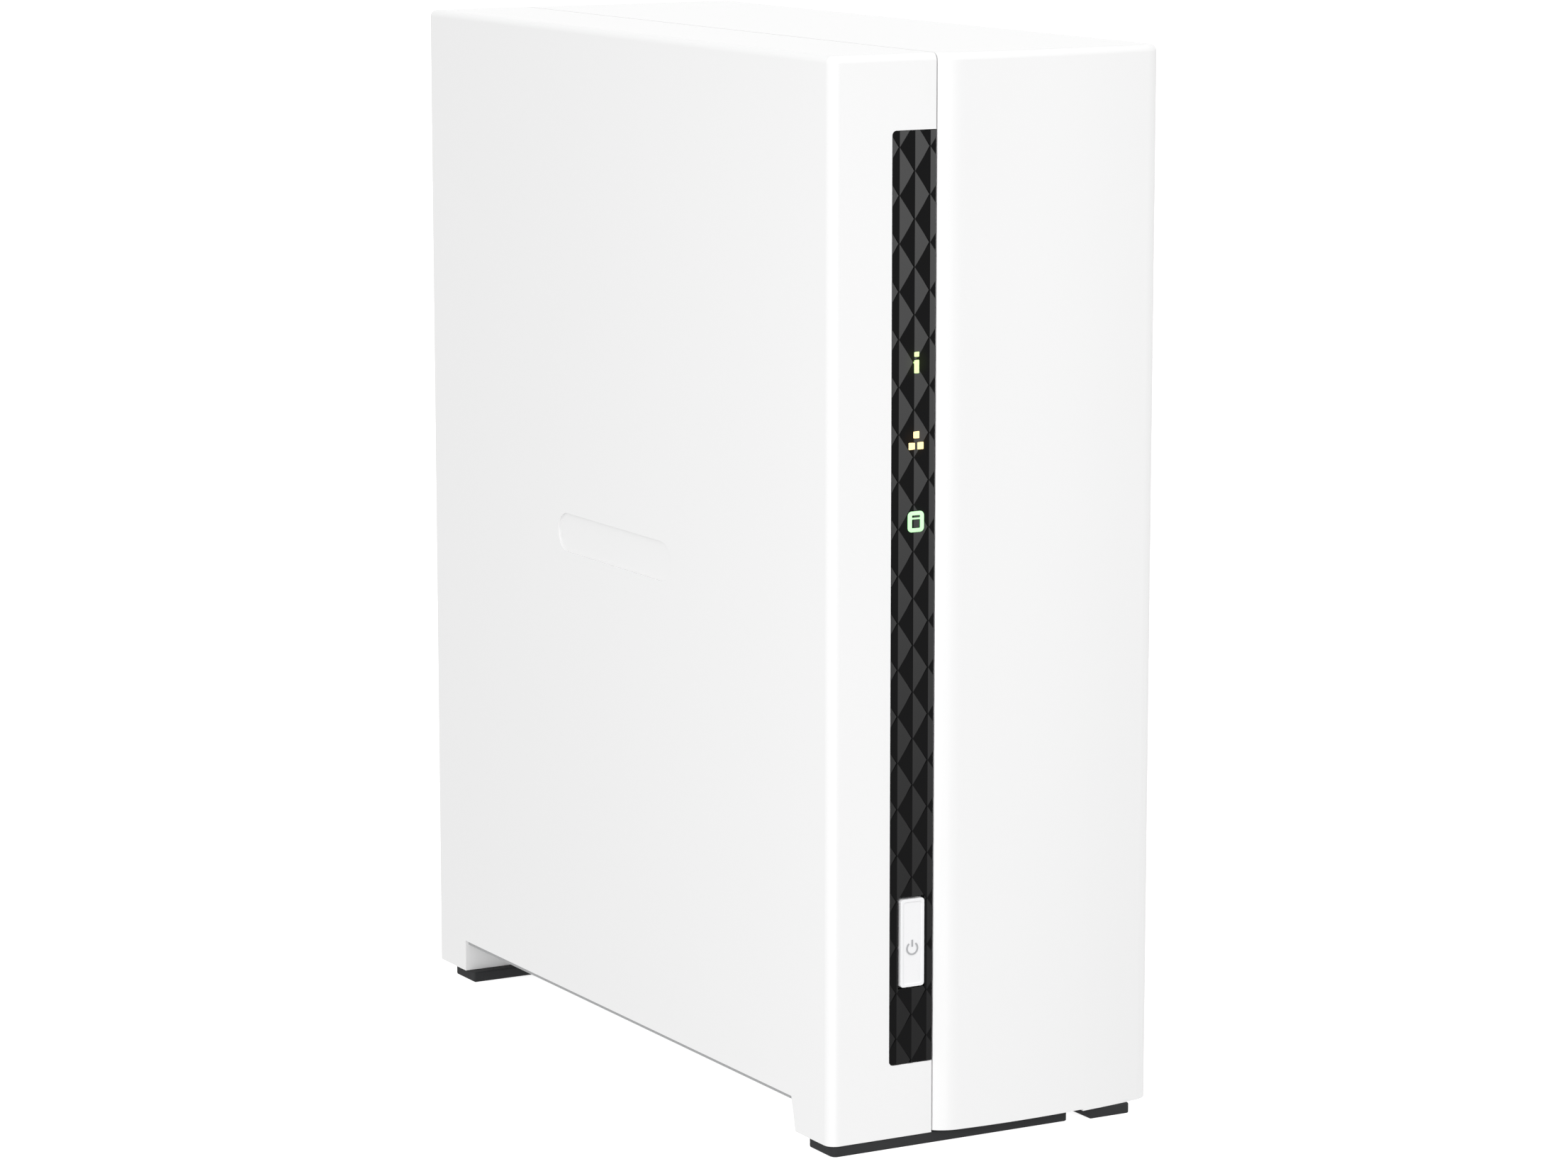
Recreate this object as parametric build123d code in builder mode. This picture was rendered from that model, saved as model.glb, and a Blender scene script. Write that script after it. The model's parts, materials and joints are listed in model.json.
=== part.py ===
from build123d import *
import os

os.makedirs("parts", exist_ok=True)

# A single-bay network storage box that stands upright on four rubber feet.
# +X is the box's right, the front face looks along -Y, +Z is up, and the
# origin is the middle of the footprint on the table. Millimetres.

# ---------------------------------------------------------------- driving sizes
WIDTH = 66.2
DEPTH = 157.3
HEIGHT = 188.6
WALL = 2.2
FOOT_HEIGHT = 2.0
UNDERSIDE = 8.0            # height of the belly between the legs
FRONT_LEG_DEPTH = 13.4
REAR_LEG_DEPTH = 12.5
LEG_RAKE = 1.4             # the front leg's rear face leans by this much
BELLY_DROP = 0.8           # the belly plate shows below the side walls
BELLY_STEP = 0.6           # and stands in from them

SEAM = 0.25                # gap between the shell and the sliding cover
SLIDE_GAP = 0.4            # clearance of parts that slide past each other
RUNNING_FIT = 0.06         # radial clearance of round running fits
TOUCH = 0.2                # how far an added rib or boss sinks into its wall

STRIP_WIDTH = 20.5         # flat front strip of the left shell
STRIP_SETBACK = 2.1        # strip face behind the crest of the curved panel
PANEL_SHOULDER = 0.85      # how far the curved panel falls back at the seam
PANEL_FALL = 2.75          # and at the right-hand corner
CORNER_R = 2.0
PANEL_CORNER_R = 4.0
PANEL_EDGE = 4.1           # width of the panel's rolled left edge
PANEL_EDGE_FALL = 1.35     # and how far it falls back to the seam
REAR_R = 2.0
TOP_R = 1.3
BASE_SPLIT = 50.5          # distance of the belly seam from the left side

TRIM_LEFT = 11.8           # left edge of the dark trim from the left side
TRIM_BOTTOM = 14.9
TRIM_TOP = 175.85
TRIM_DEPTH = 1.4
TRIM_FIT = 0.1
TRIM_R = 0.8

BUTTON_WIDTH = 4.7
BUTTON_TALL = 15.5
BUTTON_Z = 36.35
BUTTON_PROUD = 0.4
BUTTON_TRAVEL = 0.7
BUTTON_GAP = 0.3
BUTTON_FLANGE = 0.7
BUTTON_X = 16.15           # middle of the button from the left side
ICON_X = 16.7              # middle of the icons from the left side

STATUS_Z = 136.7
NETWORK_Z = 123.4
DISK_Z = 109.5
GUIDE_SIDE = 3.9
GUIDE_TALL = 4.6

BADGE_LENGTH = 44.0
BADGE_TALL = 7.2
BADGE_DEPTH = 0.35
BADGE_Y = 2.6
BADGE_Z = 95.2

BOARD = 1.6                # thickness of every circuit board
BOARD_STANDOFF = 3.7
BOARD_FRONT = 38.5         # main board's front edge behind the strip face
BOARD_REAR_GAP = 0.95
BOARD_BOTTOM = 13.0
BOARD_TOP = 172.0
BOARD_STEP_Z = 108.0       # below this the board reaches the rear panel
BOARD_FAN_GAP = 5.55       # the upper board ends this far before the fan
BOSS_R = 2.5
SCREW_R = 1.25
SCREW_FREE = 0.15          # clearance of a screw through what it holds
SCREW_HEAD_R = 2.4
SCREW_HEAD = 1.4

PANEL_INSET = 1.9          # rear panel's face inside the casing's rim
FAN = 60.0
FAN_DEPTH = 15.0
FAN_RIM = 1.6              # thinnest wall of the fan's frame
FAN_HOLE_INSET = 5.0
FAN_HOLE_R = 1.9
FAN_Z = 143.5
BLADES = 7
BLADE_TIP_GAP = 0.8
HUB_R = 13.5
HUB_WALL = 1.2
SHAFT_R = 1.5

DRIVE_LONG = 147.0
DRIVE_WIDE = 101.6
DRIVE_THICK = 26.1
DRIVE_BOTTOM = 27.0
DRIVE_LIFT = 9.0
DRIVE_HOLE_PITCH_Y = 95.25
DRIVE_HOLE_FIRST_Z = 41.28
DRIVE_HOLE_PITCH_Z = 44.45
DRIVE_SIDE = 29.1          # drive's board side from the left side
DRIVE_FRONT = 30.55        # drive's front edge behind the strip face
BAY_PLATE = 1.2
BAY_GAP = 1.3
SHOULDER_R = 2.0
SHOULDER_HEAD = 1.8
GROMMET_R = 4.5

COVER_SCREW_R = 1.5
COVER_SCREW_HEAD_R = 4.2
COVER_SCREW_GAP = 0.2      # cover screw heads clear the side wall by this
COVER_TAB = 3.0

# ---------------------------------------------------------------- derived places
LEFT = -WIDTH / 2
RIGHT = WIDTH / 2
FRONT = -DEPTH / 2
REAR = DEPTH / 2
STRIP_Y = FRONT + STRIP_SETBACK
SEAM_X = LEFT + STRIP_WIDTH
SHELL_EDGE = SEAM_X - SEAM / 2
COVER_EDGE = SEAM_X + SEAM / 2
BASE_X = LEFT + BASE_SPLIT - SEAM / 2
LIP_X = LEFT + BASE_SPLIT + SEAM / 2
INNER_LEFT = LEFT + WALL
INNER_RIGHT = RIGHT - WALL
INNER_FRONT = STRIP_Y + WALL
FLOOR = UNDERSIDE + WALL
CEILING = HEIGHT - WALL
FRONT_LEG_Y = STRIP_Y + FRONT_LEG_DEPTH
REAR_LEG_Y = REAR - REAR_LEG_DEPTH
PANEL_OUT = REAR - PANEL_INSET
PANEL_IN = PANEL_OUT - WALL
PANEL_END_Y = FRONT + PANEL_FALL
BUTTON = LEFT + BUTTON_X
ICONS = LEFT + ICON_X
BOARD_X = INNER_LEFT + BOARD_STANDOFF
BOARD_FACE = BOARD_X + BOARD
BOARD_Y0 = STRIP_Y + BOARD_FRONT
BOARD_Y1 = PANEL_IN - BOARD_REAR_GAP
DRIVE_X0 = LEFT + DRIVE_SIDE
DRIVE_X1 = DRIVE_X0 + DRIVE_THICK
DRIVE_Y0 = STRIP_Y + DRIVE_FRONT
DRIVE_Y1 = DRIVE_Y0 + DRIVE_WIDE
DRIVE_Y = (DRIVE_Y0 + DRIVE_Y1) / 2
DRIVE_TOP = DRIVE_BOTTOM + DRIVE_LONG
PLATE_X1 = DRIVE_X0 - BAY_GAP
PLATE_X0 = PLATE_X1 - BAY_PLATE
FAN_Y1 = PANEL_IN
FAN_Y0 = FAN_Y1 - FAN_DEPTH
BOARD_STEP_Y = FAN_Y0 - BOARD_FAN_GAP
FAN_BORE_R = FAN / 2 - FAN_RIM
FAN_HOLES = FAN - 2 * FAN_HOLE_INSET

# The curved front panel is one arc: its crest sits where the two falls match.
ARC_LEFT_ROOT = PANEL_SHOULDER**0.5
ARC_RIGHT_ROOT = PANEL_FALL**0.5
CREST_X = COVER_EDGE + (RIGHT - COVER_EDGE) * ARC_LEFT_ROOT / (ARC_LEFT_ROOT + ARC_RIGHT_ROOT)
PANEL_R = ((RIGHT - CREST_X) ** 2 + PANEL_FALL**2) / (2 * PANEL_FALL)


def panel_y(x, inset=0.0):
    """Depth of the curved panel at a width, or of a face that far inside it."""
    return FRONT + PANEL_R - ((PANEL_R - inset) ** 2 - (x - CREST_X) ** 2) ** 0.5


# The panel's left edge rolls back to the seam in an arc that meets the panel smoothly.
ROLL_X = COVER_EDGE + PANEL_EDGE
ROLL_Y = panel_y(ROLL_X)
EDGE_Y = panel_y(COVER_EDGE) + PANEL_EDGE_FALL
ROLL_IN = Vector(CREST_X - ROLL_X, FRONT + PANEL_R - ROLL_Y).normalized()
ROLL_CHORD = Vector(ROLL_X - COVER_EDGE, ROLL_Y - EDGE_Y)
ROLL_R = -ROLL_CHORD.length**2 / (2 * ROLL_CHORD.dot(ROLL_IN))
ROLL_CENTRE = Vector(ROLL_X, ROLL_Y) + ROLL_IN * ROLL_R
ROLL_OUT = (Vector(COVER_EDGE, EDGE_Y) + Vector(ROLL_X, ROLL_Y) - ROLL_CENTRE * 2).normalized()
ROLL_MIDDLE = ROLL_CENTRE + ROLL_OUT * ROLL_R


# ---------------------------------------------------------------- small helpers
def block(x, y, z, mode=Mode.ADD):
    """A box given by its low and high value on each axis."""
    with Locations(((x[0] + x[1]) / 2, (y[0] + y[1]) / 2, (z[0] + z[1]) / 2)):
        Box(x[1] - x[0], y[1] - y[0], z[1] - z[0], mode=mode)


def rod(radius, start, length, direction, mode=Mode.ADD):
    """A cylinder that starts at a point and runs along a direction."""
    with Locations(Plane(origin=start, z_dir=direction)):
        Cylinder(radius, length, align=(Align.CENTER, Align.CENTER, Align.MIN), mode=mode)


def tube(outer, inner, start, length, direction):
    """A round sleeve."""
    with BuildSketch(Plane(origin=start, z_dir=direction)) as ring:
        Circle(outer)
        Circle(inner, mode=Mode.SUBTRACT)
    extrude(ring.sketch, amount=length)


def panel_arc(inset, left, right):
    """The curved panel's plan line, moved back by an inset, between two X values."""
    middle = (left + right) / 2
    ends = (left, panel_y(left, inset)), (right, panel_y(right, inset))
    ThreePointArc(ends[0], (middle, panel_y(middle, inset)), ends[1])
    return ends


def front_plane(x, y, z):
    """A sketch plane that looks out of the front, at a point."""
    return Plane(origin=(x, y, z), x_dir=(1, 0, 0), z_dir=(0, -1, 0))


def under_notch():
    """Open the belly between the legs, right across the box."""
    with BuildSketch(Plane.YZ.offset(LEFT - 1)) as notch:
        with BuildLine():
            Polyline(
                (FRONT_LEG_Y - LEG_RAKE, -1),
                (FRONT_LEG_Y - LEG_RAKE, FOOT_HEIGHT),
                (FRONT_LEG_Y, UNDERSIDE),
                (REAR_LEG_Y, UNDERSIDE),
                (REAR_LEG_Y, -1),
                close=True,
            )
        make_face()
    extrude(notch.sketch, amount=WIDTH + 2, mode=Mode.SUBTRACT)


# ================================================================ CASING
BOSS_IN = 5.0              # board bosses in from the board's front edge and top
BOSS_REAR_IN = 6.0
BOSS_LOW = 12.0
BOSS_REAR_LOW = 40.0
BOARD_BOSSES = [
    (BOARD_Y0 + BOSS_IN, BOARD_BOTTOM + BOSS_LOW),
    (BOARD_Y0 + BOSS_IN, BOARD_TOP - BOSS_IN),
    (BOARD_STEP_Y - BOSS_REAR_IN, BOARD_TOP - BOSS_IN),
    (BOARD_STEP_Y - BOSS_REAR_IN, BOARD_BOTTOM + BOSS_REAR_LOW),
]
FRONT_BOARD_SPACE = 7.85   # from the front wall to the front board
FRONT_BOARD_LEFT = 4.2
FRONT_BOARD_SEAM = 1.6
FRONT_BOARD_Y = INNER_FRONT + FRONT_BOARD_SPACE
FRONT_BOARD_X0 = LEFT + FRONT_BOARD_LEFT
FRONT_BOARD_X1 = SEAM_X - FRONT_BOARD_SEAM
FRONT_BOSS_X = FRONT_BOARD_X0 + 4.0
FRONT_BOSS_OVER_BUTTON = 23.65
FRONT_BOSS_UNDER_DISK = 19.5
FRONT_BOARD_BOSSES = [BUTTON_Z + FRONT_BOSS_OVER_BUTTON, DISK_Z - FRONT_BOSS_UNDER_DISK]
BAY_POST_R = 2.5
BAY_POST_COLLAR = 1.2      # the wall's collar round each post
BAY_POST_SEAT = 1.5
BAY_POST_FRONT = 0.5       # front posts before the drive
BAY_POST_REAR = 5.6        # rear posts in from the drive's rear
BAY_POSTS = [
    (DRIVE_Y0 - BAY_POST_FRONT, DRIVE_BOTTOM + 3.0),
    (DRIVE_Y0 - BAY_POST_FRONT, DRIVE_TOP - 4.0),
    (DRIVE_Y1 - BAY_POST_REAR, BOARD_BOTTOM + 4.5),
    (DRIVE_Y1 - BAY_POST_REAR, BOARD_TOP + 6.0),
]
PANEL_BOSS = 6.0           # square blocks that take the rear panel's screws
PANEL_BOSS_LONG = 8.0
PANEL_BOSS_IN = 3.2
PANEL_BOSS_BASE = 9.2
SCREW_DROP = 6.4           # upper rear screws below the ceiling
SCREW_RISE = 6.0           # lower cover screw above the floor
PANEL_BOSS_UPPER = (INNER_LEFT + PANEL_BOSS_IN, CEILING - SCREW_DROP)
PANEL_BOSS_LOWER = (BASE_X - PANEL_BOSS_BASE, FLOOR + PANEL_BOSS_IN)
RETURN_WALL = 1.0
RETURN_CLEAR = 2.25        # the return wall stops this far from the button's ends
RETURN_Y = INNER_FRONT + 5.2
TONGUE = 1.4               # light-stop tongue behind the seam
TONGUE_REACH = 4.3
HOOK = 1.4                 # thickness of the rails and tongues that hook together
HOOK_REACH = 3.3
HOOK_ROOT = 3.0
HOOK_FRONT = 8.0           # the top tongue starts behind the front wall
HOOK_REAR = 4.0
HOOK_TOP = SLIDE_GAP + HOOK
RAIL = 1.6                 # thickness of the cover's rails
RAIL_START = 1.2
RAIL_BACK = 3.7
BELLY_SLOT_LONG = 15.0
BELLY_SLOT_WIDE = 2.4
BELLY_SLOT_PITCH = 8.0
BELLY_SLOT_APART = 20.0
BELLY_SLOT_IN = 21.2       # middle of the two rows from the belly seam
BELLY_SLOT_END = 12.6
BELLY_SLOTS = int((REAR_LEG_Y - FRONT_LEG_Y - 2 * BELLY_SLOT_END) / BELLY_SLOT_PITCH)

with BuildPart() as left_shell:
    block((LEFT, SHELL_EDGE), (STRIP_Y, REAR), (FOOT_HEIGHT, HEIGHT))
    uprights = left_shell.edges().filter_by(Axis.Z).group_by(Axis.X)[0].sort_by(Axis.Y)
    fillet(uprights[0], CORNER_R)
    uprights = left_shell.edges().filter_by(Axis.Z).filter_by_position(Axis.X, LEFT, LEFT + 0.1)
    fillet(uprights.sort_by(Axis.Y)[-1], REAR_R)
    rim = left_shell.faces().sort_by(Axis.Z)[-1].edges()
    fillet(rim.sort_by(Axis.X)[:-1], TOP_R)
    # the belly plate and the two legs reach past the seam, under the cover
    block((SHELL_EDGE - 1, BASE_X), (INNER_FRONT, REAR), (FOOT_HEIGHT, FLOOR))
    # inside space, open to the right and to the rear
    with BuildSketch(Plane.XY.offset(FLOOR)):
        with Locations(((INNER_LEFT + RIGHT) / 2, (INNER_FRONT + REAR + 1) / 2)):
            Rectangle(RIGHT - INNER_LEFT, REAR + 1 - INNER_FRONT)
    extrude(amount=CEILING - FLOOR, mode=Mode.SUBTRACT)
    # hollow legs
    LEG_SPACE = (INNER_LEFT, BASE_X - WALL)
    block(LEG_SPACE, (INNER_FRONT + WALL, FRONT_LEG_Y - LEG_RAKE - WALL),
          (FOOT_HEIGHT + WALL, FLOOR + 1), Mode.SUBTRACT)
    block(LEG_SPACE, (REAR_LEG_Y + WALL, REAR - WALL), (FOOT_HEIGHT + WALL, FLOOR + 1), Mode.SUBTRACT)
    under_notch()
    block((LEFT + BELLY_STEP, BASE_X), (FRONT_LEG_Y - TOUCH, REAR_LEG_Y + TOUCH),
          (UNDERSIDE - BELLY_DROP, UNDERSIDE + TOUCH))
    # air slots in the belly
    with Locations((BASE_X - BELLY_SLOT_IN, 0, UNDERSIDE)):
        with GridLocations(BELLY_SLOT_APART, BELLY_SLOT_PITCH, 2, BELLY_SLOTS):
            Box(BELLY_SLOT_LONG, BELLY_SLOT_WIDE, 4 * WALL, mode=Mode.SUBTRACT)
    # recess for the dark trim, and its windows
    recess_z = (TRIM_BOTTOM + TRIM_TOP) / 2
    with BuildSketch(front_plane(LEFT + TRIM_LEFT + WIDTH / 2, STRIP_Y + TRIM_DEPTH, recess_z)):
        RectangleRounded(WIDTH, TRIM_TOP - TRIM_BOTTOM, TRIM_R)
    extrude(amount=TRIM_DEPTH + 1, mode=Mode.SUBTRACT)
    block((BUTTON - BUTTON_WIDTH / 2 - BUTTON_GAP, BUTTON + BUTTON_WIDTH / 2 + BUTTON_GAP),
          (STRIP_Y, INNER_FRONT + 1),
          (BUTTON_Z - BUTTON_TALL / 2 - BUTTON_GAP, BUTTON_Z + BUTTON_TALL / 2 + BUTTON_GAP), Mode.SUBTRACT)
    for height in (STATUS_Z, NETWORK_Z, DISK_Z):
        block((ICONS - GUIDE_SIDE / 2, ICONS + GUIDE_SIDE / 2), (STRIP_Y, INNER_FRONT + 1),
              (height - GUIDE_TALL / 2, height + GUIDE_TALL / 2), Mode.SUBTRACT)
    # return wall and light-stop tongue behind the seam
    for z in ((FLOOR + HOOK_TOP, BUTTON_Z - BUTTON_TALL / 2 - RETURN_CLEAR),
              (BUTTON_Z + BUTTON_TALL / 2 + RETURN_CLEAR, CEILING - HOOK_TOP - RAIL - 1.0)):
        block((SHELL_EDGE - RETURN_WALL, SHELL_EDGE), (INNER_FRONT - TOUCH, RETURN_Y + TONGUE), z)
    block((SHELL_EDGE, SHELL_EDGE + TONGUE_REACH), (RETURN_Y, RETURN_Y + TONGUE),
          (FLOOR + HOOK_TOP, CEILING - HOOK_TOP - RAIL - 1.0))
    # top tongue that the cover's upper rail hooks under
    TOP_TONGUE_Y = (INNER_FRONT + HOOK_FRONT, PANEL_IN - HOOK_REAR)
    block((SHELL_EDGE - HOOK_ROOT, SHELL_EDGE + HOOK_REACH), TOP_TONGUE_Y,
          (CEILING - HOOK_TOP, CEILING - SLIDE_GAP))
    block((SHELL_EDGE - HOOK_ROOT, SHELL_EDGE), TOP_TONGUE_Y, (CEILING - 1.0, CEILING + TOUCH))
    # belly tongue that the cover's lower rail hooks over
    block((BASE_X - HOOK_ROOT, BASE_X), (FRONT_LEG_Y, REAR_LEG_Y), (FLOOR - TOUCH, FLOOR + HOOK_TOP))
    block((BASE_X - HOOK_ROOT, BASE_X + HOOK_REACH), (FRONT_LEG_Y, REAR_LEG_Y),
          (FLOOR + SLIDE_GAP, FLOOR + HOOK_TOP))
    # bosses: main board, front board, drive bay posts and rear panel
    for y, z in BOARD_BOSSES:
        rod(BOSS_R, (INNER_LEFT - TOUCH, y, z), BOARD_STANDOFF + TOUCH, (1, 0, 0))
        rod(SCREW_R, (INNER_LEFT, y, z), BOARD_STANDOFF + 1, (1, 0, 0), Mode.SUBTRACT)
    for z in FRONT_BOARD_BOSSES:
        rod(BOSS_R, (FRONT_BOSS_X, INNER_FRONT - TOUCH, z), FRONT_BOARD_Y - INNER_FRONT + TOUCH, (0, 1, 0))
        rod(SCREW_R, (FRONT_BOSS_X, INNER_FRONT + 1, z), FRONT_BOARD_Y - INNER_FRONT, (0, 1, 0),
            Mode.SUBTRACT)
    for y, z in BAY_POSTS:
        rod(BAY_POST_R + BAY_POST_COLLAR, (INNER_LEFT - TOUCH, y, z), BAY_POST_SEAT + TOUCH, (1, 0, 0))
    x, z = PANEL_BOSS_UPPER
    PANEL_BOSS_Y = (PANEL_IN - PANEL_BOSS_LONG, PANEL_IN)
    block((INNER_LEFT - TOUCH, x + PANEL_BOSS / 2), PANEL_BOSS_Y, (z - PANEL_BOSS / 2, z + PANEL_BOSS / 2))
    rod(SCREW_R, (x, PANEL_IN, z), PANEL_BOSS_LONG - 1, (0, -1, 0), Mode.SUBTRACT)
    x, z = PANEL_BOSS_LOWER
    block((x - PANEL_BOSS / 2, x + PANEL_BOSS / 2), PANEL_BOSS_Y, (FLOOR - TOUCH, z + PANEL_BOSS / 2))
    rod(SCREW_R, (x, PANEL_IN, z), PANEL_BOSS_LONG - 1, (0, -1, 0), Mode.SUBTRACT)
    # plain debossed lozenge on the left side
    with BuildSketch(Plane(origin=(LEFT, BADGE_Y, BADGE_Z), x_dir=(0, -1, 0), z_dir=(-1, 0, 0))):
        SlotOverall(BADGE_LENGTH, BADGE_TALL)
    extrude(amount=-BADGE_DEPTH, mode=Mode.SUBTRACT)
left_shell.part.label = "left_shell"
export_step(left_shell.part, "parts/left_shell.step")

TAB_X0 = DRIVE_X1 + 0.6
SCREW_X = INNER_RIGHT - COVER_SCREW_HEAD_R - COVER_SCREW_GAP
SCREW_Z_UPPER = CEILING - SCREW_DROP
SCREW_Z_LOWER = FLOOR + SCREW_RISE
TAB_Y1 = PANEL_IN - SLIDE_GAP
TAB_Y0 = TAB_Y1 - COVER_TAB
TAB_HALF = 4.0
GUSSET = 1.6
GUSSET_LONG = 12.0

with BuildPart() as right_cover:
    with BuildSketch(Plane.XY.offset(FOOT_HEIGHT)):
        with BuildLine():
            start, end = panel_arc(0, ROLL_X, RIGHT)
            Polyline(end, (RIGHT, REAR), (COVER_EDGE, REAR), (COVER_EDGE, EDGE_Y))
            ThreePointArc((COVER_EDGE, EDGE_Y), (ROLL_MIDDLE.X, ROLL_MIDDLE.Y), start)
        make_face()
    extrude(amount=HEIGHT - FOOT_HEIGHT)
    uprights = right_cover.edges().filter_by(Axis.Z)
    fillet(uprights.group_by(Axis.X)[-1].sort_by(Axis.Y)[0], PANEL_CORNER_R)
    uprights = right_cover.edges().filter_by(Axis.Z)
    fillet(uprights.group_by(Axis.X)[-1].sort_by(Axis.Y)[-1], REAR_R)
    rim = right_cover.faces().sort_by(Axis.Z)[-1].edges()
    fillet(rim.sort_by(Axis.X)[1:], TOP_R)
    # inside space, open to the left and to the rear
    with BuildSketch(Plane.XY.offset(FLOOR)):
        with BuildLine():
            start, end = panel_arc(WALL, COVER_EDGE - 1, INNER_RIGHT)
            Polyline(end, (INNER_RIGHT, REAR + 1), (COVER_EDGE - 1, REAR + 1), start)
        make_face()
    extrude(amount=CEILING - FLOOR, mode=Mode.SUBTRACT)
    # room for the shell's belly plate and legs
    with BuildSketch(Plane.XY):
        with BuildLine():
            start, end = panel_arc(WALL + SLIDE_GAP, COVER_EDGE - 1, LIP_X)
            Polyline(end, (LIP_X, REAR + 1), (COVER_EDGE - 1, REAR + 1), start)
        make_face()
    extrude(amount=FLOOR + 1, mode=Mode.SUBTRACT)
    block((COVER_EDGE - 1, LIP_X), (FRONT - 1, 0), (0, FOOT_HEIGHT + BUTTON_GAP), Mode.SUBTRACT)
    # hollow legs of the cover
    LEG_SPACE = (LIP_X + WALL, INNER_RIGHT)
    block(LEG_SPACE, (PANEL_END_Y + WALL + 1, FRONT_LEG_Y - LEG_RAKE - WALL),
          (FOOT_HEIGHT + WALL, FLOOR + 1), Mode.SUBTRACT)
    block(LEG_SPACE, (REAR_LEG_Y + WALL, REAR - WALL), (FOOT_HEIGHT + WALL, FLOOR + 1), Mode.SUBTRACT)
    under_notch()
    block((LIP_X, RIGHT - BELLY_STEP), (FRONT_LEG_Y - TOUCH, REAR_LEG_Y + TOUCH),
          (UNDERSIDE - BELLY_DROP, UNDERSIDE + TOUCH))
    # return wall behind the panel's rolled left edge
    block((COVER_EDGE, COVER_EDGE + WALL), (EDGE_Y + TOUCH, RETURN_Y - 2 * SLIDE_GAP),
          (FLOOR + SLIDE_GAP, CEILING + TOUCH))
    # upper rail hooks under the shell's top tongue
    RAIL_Y = (TOP_TONGUE_Y[0] + 1, TOP_TONGUE_Y[1] - 1)
    RAIL_DEEP = HOOK_TOP + SLIDE_GAP + RAIL
    RAIL_END = RAIL_BACK + RAIL
    block((SHELL_EDGE + RAIL_BACK, SHELL_EDGE + RAIL_END), RAIL_Y, (CEILING - RAIL_DEEP, CEILING + TOUCH))
    block((SHELL_EDGE + RAIL_START, SHELL_EDGE + RAIL_END), RAIL_Y,
          (CEILING - RAIL_DEEP, CEILING - RAIL_DEEP + RAIL))
    # lower rail hooks over the shell's belly tongue
    RAIL_Y = (FRONT_LEG_Y + 1, REAR_LEG_Y - 1)
    block((BASE_X + RAIL_BACK, BASE_X + RAIL_END), RAIL_Y, (FLOOR - TOUCH, FLOOR + RAIL_DEEP))
    block((BASE_X + RAIL_START, BASE_X + RAIL_END), RAIL_Y, (FLOOR + RAIL_DEEP - RAIL, FLOOR + RAIL_DEEP))
    # tabs for the two cover screws, each with a gusset to the side wall
    for height in (SCREW_Z_UPPER, SCREW_Z_LOWER):
        block((TAB_X0, INNER_RIGHT + TOUCH), (TAB_Y0, TAB_Y1), (height - TAB_HALF, height + TAB_HALF))
        block((INNER_RIGHT - GUSSET, INNER_RIGHT + TOUCH), (TAB_Y0 - GUSSET_LONG, TAB_Y1),
              (height - TAB_HALF, height + TAB_HALF))
        rod(COVER_SCREW_R + RUNNING_FIT, (SCREW_X, TAB_Y0 - 1, height), COVER_TAB + 2, (0, 1, 0),
            Mode.SUBTRACT)
right_cover.part.label = "right_cover"
export_step(right_cover.part, "parts/right_cover.step")

# ---------------------------------------------------------------- rear panel
PORT_FIT = 0.3
JACK_W = 9.0
JACK_H = 11.0
JACK_LONG = 14.2
LAN_W = 16.0
LAN_H = 13.5
LAN_LONG = 21.3
USB_W = 13.2
USB_H = 5.7
USB_LONG = 17.5
PORT_SUNK = 0.4
PORT_END = PANEL_OUT - PORT_SUNK
JACK_Z = BOARD_BOTTOM + 8.5
LAN_Z = BOARD_BOTTOM + 26.0
RESET_Z = BOARD_BOTTOM + 40.0
USB3_Z = BOARD_BOTTOM + 53.6
USB2_Z = (BOARD_BOTTOM + 70.6, BOARD_BOTTOM + 87.2)
PORTS = [(JACK_Z, JACK_W, JACK_H), (LAN_Z, LAN_W, LAN_H), (USB3_Z, USB_W, USB_H)]
PORTS += [(height, USB_W, USB_H) for height in USB2_Z]
RESET_OUT = 3.0
RESET_X = BOARD_FACE + RESET_OUT
PINHOLE_R = 1.0
LOCK_IN = 16.1             # lock slot from the right side
LOCK_X = RIGHT - LOCK_IN
LOCK_Z = 40.0
LOCK_LONG = 7.0
LOCK_WIDE = 3.0
PANEL_X1 = INNER_RIGHT - SLIDE_GAP
PANEL_Z1 = CEILING - SLIDE_GAP
GRILLE_SLOT = 2.9
GRILLE_WEB = 1.2
GRILLE_EDGE = 0.9
GRILLE_STEP = GRILLE_SLOT + GRILLE_WEB
GRILLE_RINGS = int((FAN_BORE_R - GRILLE_SLOT - GRILLE_EDGE) / GRILLE_STEP + TOUCH)
GRILLE_SPOKES = 6
SPOKE = 1.7

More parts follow.
